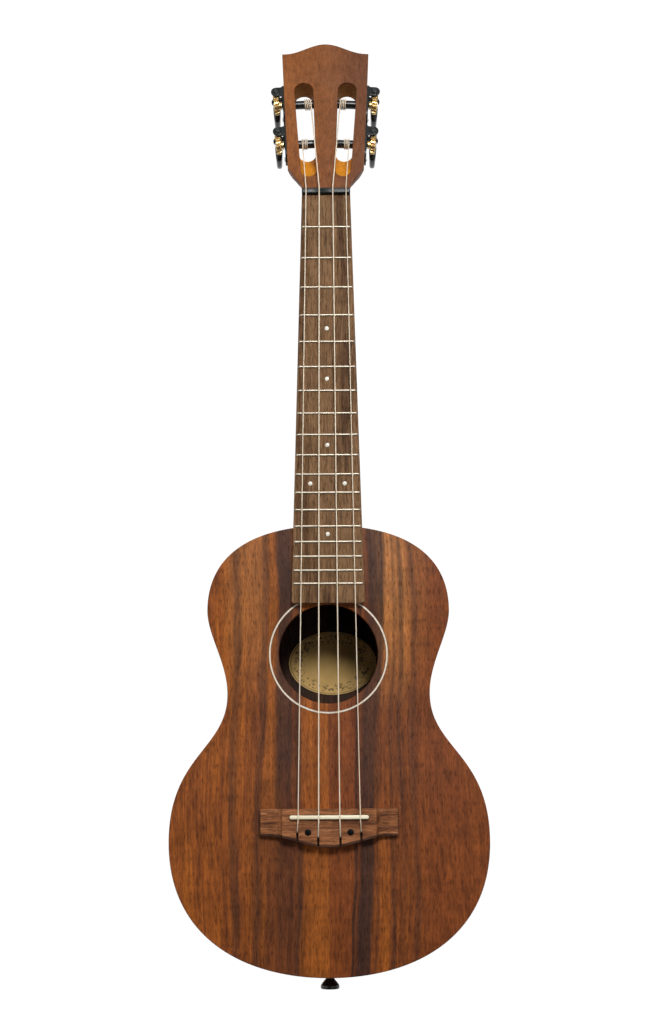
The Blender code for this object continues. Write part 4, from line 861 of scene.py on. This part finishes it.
def make_linings(side, name):
    """Kerfed strips along both edges of a side."""
    paths = [half_outline(side, inward, 56) for inward in (WALL - 0.0002, LINING, KERF_FLOOR, LINING_FOOT)]
    for label, edge, way in (("back", PLATE + 0.0001, 1), ("top", TOP - PLATE - 0.0001, -1)):
        rings = []
        for i, (wall, lip, kerf, foot) in enumerate(zip(*paths)):
            if i % 2:
                lip = foot = kerf
            if abs(wall[0]) >= LINING_END:
                corners = ((wall, 0.0), (lip, 0.0), (lip, 0.0030), (foot, 0.0088), (wall, 0.0090))
                rings.append([Vector((*place, edge + way * height)) for place, height in corners])
        stepped = []
        for first, second in zip(rings, rings[1:]):
            stepped += [first, [p.lerp(q, 0.82) for p, q in zip(first, second)]]
        show(f"{name}_{label}_lining", loft(stepped), block_wood)


# Neck and headstock


def head_edge(steps=10, crown=24):
    """The headstock's right edge as (half width, distance from the nut)."""
    neck = NUT_WIDTH / 2
    points = []
    for i in range(steps + 1):
        share = i / steps
        along = HEAD_THROAT + (HEAD_SHOULDER - HEAD_THROAT) * share
        points.append((neck + (HEAD_SHOULDER_HALF - neck) * share**2, along))
    points += [(HEAD_LOWER_HALF, HEAD_LOWER), (HEAD_CORNER_HALF, HEAD_CORNER)]
    for i in range(1, crown + 1):
        half = HEAD_CORNER_HALF * (1 - i / crown)
        swell = (1 + cos(pi * half / HEAD_CORNER_HALF)) / 2
        points.append((half, HEAD_CORNER + (HEAD_LENGTH - HEAD_CORNER) * swell**CROWN_POWER))
    return points


def neck_section(top_half, floor_half, depth, squareness, steps=32):
    """Half a cross-section of the neck as (x, depth), from a D to a square-sided shape."""
    points = []
    for across, down in arc((0, 0), 1, 0, pi, steps):
        reach = max(abs(across), abs(down))
        square_half = top_half + (floor_half - top_half) * down / reach
        square = Vector((across / reach * square_half, down / reach * depth))
        rounded = Vector((across * top_half, max(down, 0) ** 0.85 * depth))
        points.append(rounded.lerp(square, squareness))
    return points


def slot_loop(side, depth, steps=16):
    """The plan of a headstock slot at a depth under the face."""
    bottom = SLOT_BOTTOM + (SLOT_RAMP_END - SLOT_BOTTOM) * depth / (VENEER + GAP + CORE)
    points = []
    for along, start, way in ((SLOT_TOP, 0, -1), (bottom, pi, 1)):
        inner = slot_edge(SLOT_INNER, along)
        outer = slot_edge(SLOT_OUTER, along)
        radius = (outer - inner) / 2
        points += arc(((inner + outer) / 2, along + way * radius), radius, start, start + pi, steps)
    return [(side * x, y) for x, y in points]


def make_neck():
    """Neck with its heel and headstock, and the veneer on the headstock's face."""
    heel_start = BODY_NECK - HEEL_LENGTH
    stations = [BODY_NECK + 0.0012] + [BODY_NECK - HEEL_LENGTH * i / 24 for i in range(25)]
    stations += [heel_start + (SHAFT_END - heel_start) * i / 10 for i in range(1, 11)]
    rings = []
    for station in stations:
        half = board_half(min(station, BODY_NECK))
        depth = SHAFT_DEPTH + SHAFT_SWELL * min(station / heel_start, 1)
        swell = min(max((station - heel_start) / HEEL_LENGTH, 0), 1) ** 2.6
        depth += (HEEL_DEPTH - depth) * swell
        floor = half + (HEEL_TIP_HALF - half) * swell
        rings.append([(x, sy(station), TOP - down) for x, down in neck_section(half, floor, depth, 0.6 * swell)])
    edge = head_edge()
    corner = edge.index((HEAD_LOWER_HALF, HEAD_LOWER)) + 1
    squaring = [HEAD_LOWER + (SQUARE_START - HEAD_LOWER) * i / 4 for i in range(1, 5)]
    outline = edge[:corner] + [(head_half(along), along) for along in squaring] + edge[corner:-1]
    for half, along in [(NUT_WIDTH / 2, 0.0)] + outline + [(HEAD_TIP_HALF, edge[-1][1])]:
        square = min(along / SQUARE_START, 1) ** SQUARE_POWER
        rings.append([HEAD @ Vector((x, along, -down)) for x, down in neck_section(half, half, CORE, square)])
    whole = loft(rings)
    whole.materials.append(neck_wood)
    whole.materials.append(slot_wood)
    face = VENEER + GAP
    for side in (-1, 1):
        slot = []
        for depth in (-0.002, face + CORE + 0.002):
            slot.append([HEAD @ Vector((x, y, face - depth)) for x, y in slot_loop(side, depth)])
        whole = cut(whole, loft(slot), slot_wood)
    for side, along in TUNERS:
        bore = lathe([(BORE_RADIUS, -0.030), (BORE_RADIUS, 0.002)], 40)
        whole = cut(whole, placed(bore, tuner_matrix(side, along) @ outward(side)), neck_wood)
    whole.set_sharp_from_angle(angle=CUT_SHARP)
    show("neck", whole, neck_wood, slot="mahogany_neck")
    right = [(NUT_WIDTH / 2, 0.0006)] + edge
    front, rear = ([slot_loop(side, depth) for side in (-1, 1)] for depth in (0.0, face))
    veneer = prism(right + mirrored(right[:-1]), 0.0, face, 0.00035, holes=front, back_holes=rear, steps=3)
    show("headstock_face", placed(veneer, HEAD), koa_face, slot="koa_face", node="headstock_veneer")


def make_fretboard():
    """The fretboard with its position dots, and the frets with dressed ends."""
    start, end = NUT_WIDTH / 2, BOARD_END_WIDTH / 2
    tail = sy(BOARD_END) + BOARD_CORNER
    right = [(start + (end - start) * i / 12, sy(0) + (tail - sy(0)) * i / 12) for i in range(12)]
    right += arc((end - BOARD_CORNER, tail), BOARD_CORNER, 0, -pi / 2, 8)
    show("fretboard", prism(right + mirrored(right), TOP, BOARD_TOP, 0.0004, steps=3), board_wood, slot="walnut_board")
    discs = []
    for x, number in [(0, n) for n in DOT_FRETS] + [(x, PAIRED_DOT_FRET) for x in (-DOT_SPREAD, DOT_SPREAD)]:
        y = sy((fret_station(number - 1) + fret_station(number)) / 2)
        spot = circle((x, y), DOT_RADIUS, 40)
        discs.append(prism(spot, BOARD_TOP - INLAY_DEPTH, BOARD_TOP + 0.00005, 0.00004, steps=2))
    show("position_dots", merged(discs), dot_white)
    profile = [(FRET_HALF * u, FRET_HEIGHT * v) for u, v in arc((0, 0), 1, 0, pi, 12)]
    for number in range(1, FRET_COUNT + 1):
        station = fret_station(number)
        reach = board_half(station) - FRET_INSET
        left = [(FRET_DRESS * i / 8 - reach, i / 8) for i in range(9)]
        rings = []
        for x, share in left + mirrored(left):
            grow = sqrt(max(1 - (1 - share) ** 2, 0.0))
            wide = 0.55 + 0.45 * grow
            tall = max(grow, 0.05)
            rings.append([(x, sy(station) + u * wide, BOARD_TOP - 0.0001 + v * tall) for u, v in profile])
        show(f"fret_{number:02d}", loft(rings), fret_metal, slot="nickel_fret")


def make_nut():
    """The nut, rounded on top, with a groove for each string."""
    half = NUT_WIDTH / 2
    ends = [half - step for step in (0.0, 0.0001, 0.0003, NUT_EDGE)]
    grooves = [x + 0.0009 * k / 8 for x in NUT_OFFSETS for k in range(-8, 9)]
    rings = []
    for x in sorted([-end for end in ends] + grooves + ends):
        drop = 0.0
        for offset, diameter in zip(NUT_OFFSETS, DIAMETERS):
            room = diameter / 2 + 0.00034 - abs(x - offset)
            if room > 0:
                drop = GROOVE_DEPTH * min(1.0, room / 0.00012)
        past = max(0.0, 1 - (half - abs(x)) / NUT_EDGE)
        shrink = 0.0004 * (1 - sqrt(max(1 - past**2, 0.0)))
        top = NUT_TOP - drop - shrink
        front = -GAP - shrink
        rear = -GAP - NUT_THICKNESS + shrink
        profile = [(rear, TOP - 0.0001), (front, TOP - 0.0001)]
        profile += arc((front - 0.0005, top - 0.0005), 0.0005, 0, pi / 2, 5)
        profile += arc((rear + 0.0014, top - 0.0017), 0.0014, pi / 2, pi, 8)
        rings.append([(x, sy(station), height) for station, height in profile])
    show("nut", loft(rings), black_nut, slot="black_nut")


# Bridge and saddle


def bridge_rear(x):
    """Station of the bridge's rear edge at a distance from the centre line."""
    bulge = cos(pi / 2 * min(abs(x) / BRIDGE_BELL, 1)) ** 2
    return SADDLE_STATION + BRIDGE_WING_REAR + (BRIDGE_CENTRE_REAR - BRIDGE_WING_REAR) * bulge


def make_bridge():
    """The bridge with its slots, dots and saddle."""
    middle = sy(SADDLE_STATION)
    half = BRIDGE_WIDTH / 2
    reach = half - BRIDGE_CORNER
    right = arc((reach, middle + BRIDGE_FRONT - BRIDGE_CORNER), BRIDGE_CORNER, pi / 2, 0, 6)
    right += arc((reach, middle - BRIDGE_WING_REAR + BRIDGE_CORNER + 0.0002), BRIDGE_CORNER, 0, -pi / 2, 6)
    bell = [BRIDGE_BELL * (1 - 2 * i / 48) for i in range(49)]
    body = prism(right + [(x, sy(bridge_rear(x))) for x in bell] + mirrored(right), TOP, BRIDGE_TOP)
    body.materials.append(bridge_wood)
    rise = [(half * 1.1, -0.003), (half * 1.1, WING_EDGE_HEIGHT), (SCOOP_FOOT, WING_HEIGHT)]
    for k in range(1, 13):
        turn = pi / 2 * k / 12
        rise.append((SCOOP_FOOT - SCOOP_LENGTH * sin(turn), WING_HEIGHT + SCOOP_RISE * (1 - cos(turn))))
    keep = prism(rise + mirrored(rise), -0.04, 0.04)
    keep = placed(keep, Matrix.Translation((0, middle, TOP + GAP)) @ Matrix.Rotation(pi / 2, 4, "X"))
    body = cut(body, keep, bridge_wood, "INTERSECT")
    around = stadium(SADDLE_LENGTH + 2 * GAP, SADDLE_THICKNESS + 2 * GAP, middle)
    body = cut(body, prism(around, BRIDGE_TOP - 0.005, BRIDGE_TOP + 0.004), bridge_wood)
    rear = middle - BRIDGE_CENTRE_REAR - 0.004
    for x, behind in zip(SLOT_OFFSETS, SLOT_FRONTS):
        x0, x1, front = x - SLOT_WIDTH / 2, x + SLOT_WIDTH / 2, middle - behind
        slot = [(x0, rear), (x1, rear), (x1, front), (x0, front)]
        body = cut(body, prism(slot, BRIDGE_TOP - SLOT_DEPTH, BRIDGE_TOP + 0.004), slot_shade)
    body.set_sharp_from_angle(angle=CUT_SHARP)
    show("bridge", body, bridge_wood, slot="walnut_bridge")
    dots = []
    for x in (-BRIDGE_DOT_OFFSET, BRIDGE_DOT_OFFSET):
        spot = circle((x, middle - BRIDGE_DOT_REAR), BRIDGE_DOT_RADIUS, 40)
        dots.append(prism(spot, BRIDGE_TOP - 0.0006, BRIDGE_TOP + 0.00008, 0.00006, steps=2))
    show("bridge_dots", merged(dots), black_dot)
    strip = stadium(SADDLE_LENGTH, SADDLE_THICKNESS, middle)
    show("saddle", prism(strip, BRIDGE_TOP - 0.0049, SADDLE_TOP, 0.0008, steps=5), ivory, slot="bone_saddle")


def make_strap_button():
    """The turned strap button with its screw."""
    head = 0.0064
    corners = [(0.0, 0.0), (0.0045, 0.0), (0.0030, 0.0016), (0.0027, 0.0026), (0.0029, 0.0040), (head, 0.0082),
               (head, 0.0107), (0.0024, 0.0107), (0.0020, STRAP_DISH), (0.0, STRAP_DISH)]
    place = Matrix.Translation((0, sy(TAIL), STRAP_HEIGHT)) @ Matrix.Rotation(pi / 2, 4, "X")
    mesh = placed(lathe(rounded_profile(corners, 0.0007, 4), 64), place)
    show("strap_button", mesh, black_strap, slot="black_strap_button")
    screw = placed(screw_mesh(0.0019, 0.0006), place @ Matrix.Translation((0, 0, STRAP_DISH)))
    show("strap_screw", screw, steel)


def screw_mesh(radius, height):
    """A domed screw head with a cross recess, standing on z = 0."""
    dome = [pi / 2 * k / 8 for k in range(1, 9)]
    profile = [(0.0, height)] + [(radius * sin(turn), height * (0.25 + 0.75 * cos(turn))) for turn in dome]
    head = lathe(profile + [(radius, 0.0), (0.0, 0.0)], 32)
    wide = radius * 0.62
    thin = radius * 0.13
    for turn in (0.0, pi / 2):
        bar = prism([(-wide, -thin), (wide, -thin), (wide, thin), (-wide, thin)], height * 0.35, height * 2)
        head = cut(head, placed(bar, Matrix.Rotation(turn + 0.4, 4, "Z")))
    head.set_sharp_from_angle(angle=SHARP)
    return head


# Tuners


def tooth_half(radial):
    """Half a tooth's thickness at a distance outside the pitch line."""
    return TOOTH_PITCH * TOOTH_SHARE / 2 - radial * tan(PRESSURE_ANGLE)


def gear_mesh(side):
    """The gear, its teeth twisted to the worm's lead and chamfered at both faces."""
    half = GEAR_THICKNESS / 2
    flank = (-DEDENDUM, 0.0, ADDENDUM)
    tooth = [(radial, -1) for radial in flank] + [(radial, 1) for radial in reversed(flank)]
    inner = half - GEAR_CHAMFER
    rings = []
    for x, trim in ((-half, GEAR_CHAMFER), (-inner, 0.0), (inner, 0.0), (half, GEAR_CHAMFER)):
        ring = []
        for number in range(GEAR_TEETH):
            middle = 2 * pi * (number + 0.5) / GEAR_TEETH + x * tan(LEAD) / GEAR_RADIUS
            for radial, hand in tooth:
                turn = middle + hand * tooth_half(radial) / GEAR_RADIUS
                radius = GEAR_RADIUS + radial - (trim if radial >= 0 else 0)
                ring.append((side * (WORM_X + x), radius * cos(turn), radius * sin(turn)))
        rings.append(ring)
    hub = puck(0.0029, PLATE_OUT + 2 * GAP, WORM_X - half + 0.0004, 0.0002)
    boss = puck(0.0030, WORM_X + half - 0.0004, WORM_X + half + 0.0003, 0.0002)
    return merged([loft(rings), placed(hub, outward(side)), placed(boss, outward(side))])


def worm_radius(phase):
    """Radius of the worm's thread at an angle from its crest."""
    off = abs((phase + pi) % (2 * pi) - pi)
    tip, root = (2 * pi * tooth_half(radial) / TOOTH_PITCH for radial in (ADDENDUM, -DEDENDUM))
    share = min(max((off - tip) / (root - tip), 0.0), 1.0)
    return WORM_RADIUS + ADDENDUM - (ADDENDUM + DEDENDUM) * share


def worm_mesh(side, levels=72):
    """The worm's thread between its journals, as in the model."""
    shoulder = min(WORM_HALF + 0.0005, EAR_IN - GAP)
    root = WORM_RADIUS - DEDENDUM
    front = EAR_OUT + GAP
    heights = [(front, SHAFT_RADIUS * 0.85), (front - 0.0001, SHAFT_RADIUS), (shoulder, SHAFT_RADIUS), (shoulder, root)]
    heights += [(WORM_HALF - 2 * WORM_HALF * i / levels, None) for i in range(levels + 1)]
    heights += [(-shoulder, root), (-shoulder, SHAFT_RADIUS), (-BUTTON_START - 0.0005, SHAFT_RADIUS)]
    rings = []
    for z, plain in heights:
        lead = 2 * pi * max(min(z, WORM_HALF), -WORM_HALF) / TOOTH_PITCH - pi / 2
        ring = []
        for i in range(48):
            angle = 2 * pi * i / 48
            radius = plain or worm_radius(angle - lead)
            ring.append((side * (WORM_X + radius * cos(angle)), WORM_Y + radius * sin(angle), z))
        rings.append(ring)
    return loft(rings)


def plate_mesh(side):
    """A tuner's plate with rounded edges and its two ears."""
    hole = circle((0, 0), ROLLER_RADIUS + GAP, 40)
    outline = stadium(PLATE_LENGTH, 2 * PLATE_RADIUS, steps=20)
    plate = prism(outline, 0.00005, PLATE_OUT, 0.00025, holes=[hole], steps=3)
    parts = [placed(plate, Matrix(((0, 0, side, 0), (1, 0, 0, 0), (0, 1, 0, 0), (0, 0, 0, 1))))]
    middle = Matrix.Translation((side * WORM_X, WORM_Y, 0))
    shoulder = [(0.0026, EAR_RADIUS), (0.0006, EAR_RADIUS + 0.0012)]
    ear = arc((WORM_X, WORM_Y), EAR_RADIUS, -pi / 2, pi / 2, 28)
    ear += [(x, WORM_Y + y) for x, y in shoulder] + [(x, WORM_Y - y) for x, y in reversed(shoulder)]
    ear = [(side * x, y) for x, y in ear]
    for end in (1, -1):
        parts.append(prism(ear, *sorted((end * EAR_IN, end * EAR_OUT)), 0.00030, 0.00030))
        for radius, wire in ((0.0030, 0.00022), (0.0022, 0.00014)):
            bead = lathe(circle((radius, end * EAR_OUT), wire, 8) + [(radius + wire, end * EAR_OUT)], caps=False)
            parts.append(placed(bead, middle))
    return merged(parts)


def roller_mesh(side, along):
    """The string roller's barrel and the stub that carries its gear."""
    reach = (head_half(along) - slot_edge(SLOT_INNER, along)) / cos(HEAD_TAPER) + ROLLER_PAST_SLOT
    shoulder = PLATE_OUT + GAP
    tip = WORM_X + GEAR_THICKNESS / 2 + 0.0006
    corners = [(0.0, -reach), (ROLLER_RADIUS, -reach), (ROLLER_RADIUS, shoulder), (STUB_RADIUS, shoulder),
               (STUB_RADIUS, tip), (0.0, tip)]
    return placed(lathe(rounded_profile(corners, 0.00035)), outward(side))


def button_mesh(side, levels=44):
    """A flat oval tuner button with a round collar and a thick blunt rim."""
    rings = []
    for i in range(levels + 1):
        share = i / levels
        blend = min(max((share - 0.10) / 0.18, 0.0), 1.0)
        blend = blend * blend * (3 - 2 * blend)
        reach = max(1 - (abs(share - 0.45) / 0.56) ** 2.2, 0.0)
        wide = COLLAR_RADIUS + (BUTTON_HALF * sqrt(reach) - COLLAR_RADIUS) * blend
        thick = COLLAR_RADIUS + ((0.0056 - 0.0014 * share) / 2 - COLLAR_RADIUS) * blend
        tip = max((share - 0.93) / 0.07, 0.0)
        close = 0.72 + 0.28 * sqrt(max(1 - tip**2, 0.0))
        ring = []
        for c, s in circle((0, 0), 1, 56):
            x = copysign(abs(c) ** (1.0 - 0.50 * blend), c) * thick * close
            y = copysign(abs(s) ** (1.0 - 0.15 * blend), s) * max(wide, 0.0012) * close
            ring.append((side * (WORM_X + x), WORM_Y + y, -BUTTON_START - BUTTON_LENGTH * share))
        rings.append(ring)
    return loft(rings)


def make_tuners():
    """The four tuners, each on its bodies."""
    for label, (side, along) in zip(LABELS, TUNERS):
        place = tuner_matrix(side, along)
        turning = f"{label}_worm_and_button"
        rolling = f"{label}_roller_and_gear"
        cap = puck(0.0017, EAR_OUT + 0.0001, EAR_OUT + 0.0007, 0.0003)
        cap = placed(cap, Matrix.Translation((side * WORM_X, WORM_Y, 0)))
        face = Matrix.Translation((side * (WORM_X + GEAR_THICKNESS / 2 + 0.0003), 0, 0)) @ outward(side)
        pieces = [
            ("plate", plate_mesh(side), black_metal, MAIN, "black_plate"),
            ("worm", worm_mesh(side), brass, turning, "brass_worm"),
            ("worm_cap", cap, black_metal, turning, None),
            ("button", button_mesh(side), black_button, turning, "black_tuner_button"),
            ("gear", gear_mesh(side), brass, rolling, "brass_gear"),
            ("roller", roller_mesh(side, along), black_barrel, rolling, "black_roller"),
            ("gear_screw", placed(screw_mesh(0.0022, 0.0007), face), steel, rolling, None),
        ]
        for end, y in PLATE_SCREWS:
            screw = placed(screw_mesh(0.0017, 0.0009), Matrix.Translation((side * PLATE_OUT, y, 0)) @ outward(side))
            pieces.append((end + "_screw", screw, black_metal, MAIN, None))
        for part, mesh, material, body, slot in pieces:
            show(f"{label}_tuner_{part}", placed(mesh, place), material, body, slot)


# Strings


def string_route(index):
    """A string's points from its slot in the bridge to the end of its winding."""
    side, along = TUNERS[index]
    place = tuner_matrix(side, along)
    rest = GAP + DIAMETERS[index] / 2
    entry = SADDLE_STATION + SLOT_FRONTS[index] + 0.7 * rest
    edge = SADDLE_THICKNESS / 2 - 0.0007
    nut_height = NUT_TOP - GROOVE_DEPTH + rest
    points = [
        Vector((x, sy(station), height))
        for x, station, height in (
            (SLOT_OFFSETS[index], entry + 0.0010, BRIDGE_TOP - SLOT_DEPTH + rest),
            (SLOT_OFFSETS[index], entry, BRIDGE_TOP + 0.7 * rest),
            (SADDLE_OFFSETS[index], SADDLE_STATION + edge, SADDLE_TOP + rest),
            (SADDLE_OFFSETS[index], SADDLE_STATION - edge, SADDLE_TOP + rest),
            (NUT_OFFSETS[index], GAP, nut_height),
            (NUT_OFFSETS[index], -GAP - NUT_THICKNESS - GAP, nut_height),
        )
    ]
    local = place.inverted() @ points[-1]
    around = ROLLER_RADIUS + rest
    first = atan2(local.y, local.z) + acos(around / hypot(local.y, local.z))
    start = (TUNER_OFFSETS[index] - head_half(along)) / cos(HEAD_TAPER)
    pitch = DIAMETERS[index] + 0.0005
    if along < HEAD_MIDDLE:
        start += 2.4 * pitch
        pitch = -pitch
    steps = 48
    winding = []
    for i in range(WINDINGS * steps + 1):
        share = i / steps
        turn = first + 2 * pi * share
        winding.append(Vector((side * (start + pitch * share), around * sin(turn), around * cos(turn))))
    run = (winding[-1] - winding[-2]).normalized()
    winding.append(winding[-1] + run * WINDING_TAIL)
    return points + [place @ point for point in winding]


def make_strings():
    """Four strings as drawn tubes."""
    for index, label in enumerate(LABELS):
        curve = bpy.data.curves.new("shape", "CURVE")
        curve.dimensions = "3D"
        curve.bevel_depth = DIAMETERS[index] / 2
        curve.bevel_resolution = 3
        curve.use_fill_caps = True
        route = string_route(index)
        spline = curve.splines.new("POLY")
        spline.points.add(len(route) - 1)
        for point, where in zip(spline.points, route):
            point.co = (*where, 1)
        spline.use_smooth = True
        show(label + "_string", curve, clear_string, slot="clear_string")


# Stage

# Name, place, size and power
LAMPS = (
    ("key", (0.25, 1.10, 1.9), (0.6, 0.6), 38.0),
    ("sheen", (-0.2, 1.9, 1.2), (1.6, 1.0), 2.5),
    ("fill", (1.0, -0.3, 1.6), (1.2, 1.4), 3.5),
    ("side", (-1.5, -0.1, 1.1), (1.0, 1.4), 5.0),
)
LAMP_TARGET = (0, 0.1, 0.05)
SKY = ((0.0, 1.0), (0.25, 0.75), (0.70, 0.14), (1.0, 0.12))
FLOOR_REACH = 6.0
FLOOR_GLOW = 1.06
FLOOR_GLOW_SHARE = 0.94
CAMERA_LENS = 57.06
CAMERA_STATION = 0.4153
CAMERA_HEIGHT = TOP + 1.1095
CAMERA_SHIFT = -2.65 / 1024
CAMERA_TILT = radians(9.549)
CAMERA_ROLL = -0.0052


def make_floor():
    """A plain pale floor that is white to the camera and keeps shadows."""
    look = Look("floor_look")
    grain = look.noise(look.place, 30.0, 3.0, 0.5)
    glow = look.add("Emission", named={1: FLOOR_GLOW})
    path = look.add("LightPath").outputs
    seen = look.math("MAXIMUM", path["Is Glossy Ray"], path["Is Transmission Ray"])
    seen = look.times(look.math("MAXIMUM", path["Is Camera Ray"], seen), FLOOR_GLOW_SHARE)
    look.put(look.out.inputs[0], look.add("MixShader", seen, look.shader.outputs[0], glow.outputs[0]).outputs[0])
    mesh = bpy.data.meshes.new("floor")
    corners = [(x * FLOOR_REACH, y * FLOOR_REACH, 0) for x, y in ((-1, -1), (1, -1), (1, 1), (-1, 1))]
    mesh.from_pydata(corners, [], [(0, 1, 2, 3)])
    mesh.materials.append(look.surface(
        Base_Color=look.ramp(grain, [(0.3, 0.88), (0.7, 0.92)]), Roughness=0.9, Specular_IOR_Level=0.1))
    floor = bpy.data.objects.new("floor", mesh)
    bpy.context.scene.collection.objects.link(floor)
    floor.location.z = -0.0002


def make_world():
    """A studio that is bright at the horizon and darker overhead."""
    world = bpy.data.worlds.new("studio")
    world.use_nodes = True
    nodes = Nodes(world.node_tree)
    studio = world.node_tree.nodes["Background"]
    _, y, z = nodes.split(nodes.add("TexCoord").outputs["Generated"])
    nodes.put(studio.inputs[0], nodes.ramp(z, SKY))
    nodes.put(studio.inputs[1], nodes.range(y, -0.7, 0.3, 0.25, 0.66))
    paper = nodes.add("Background", (1, 1, 1, 1))
    seen = nodes.add("LightPath").outputs["Is Camera Ray"]
    blend = nodes.add("MixShader", seen, studio.outputs[0], paper.outputs[0])
    nodes.put(world.node_tree.nodes["World Output"].inputs[0], blend.outputs[0])
    bpy.context.scene.world = world


def make_lamps():
    """Soft lamps, the key from beyond the headstock."""
    for name, place, size, power in LAMPS:
        lamp = bpy.data.lights.new(name, "AREA")
        lamp.shape = "RECTANGLE"
        lamp.size, lamp.size_y = size
        lamp.energy = power
        obj = bpy.data.objects.new(name, lamp)
        bpy.context.scene.collection.objects.link(obj)
        obj.location = place
        obj.rotation_euler = (Vector(LAMP_TARGET) - Vector(place)).to_track_quat("-Z", "Y").to_euler()


def make_camera():
    """The photograph's camera."""
    camera = bpy.data.cameras.new("camera")
    camera.lens = CAMERA_LENS
    camera.sensor_width = 36.0
    camera.shift_x = CAMERA_SHIFT
    eye = bpy.data.objects.new("camera", camera)
    bpy.context.scene.collection.objects.link(eye)
    turn = Matrix.Rotation(CAMERA_TILT, 4, "X") @ Matrix.Rotation(CAMERA_ROLL, 4, "Z")
    eye.matrix_world = Matrix.Translation((0, sy(CAMERA_STATION), CAMERA_HEIGHT)) @ turn
    bpy.context.scene.camera = eye
    bpy.context.scene.view_settings.view_transform = "Standard"


make_body()
make_neck()
make_fretboard()
make_nut()
make_bridge()
make_strap_button()
make_tuners()
make_strings()
make_floor()
make_world()
make_lamps()
make_camera()
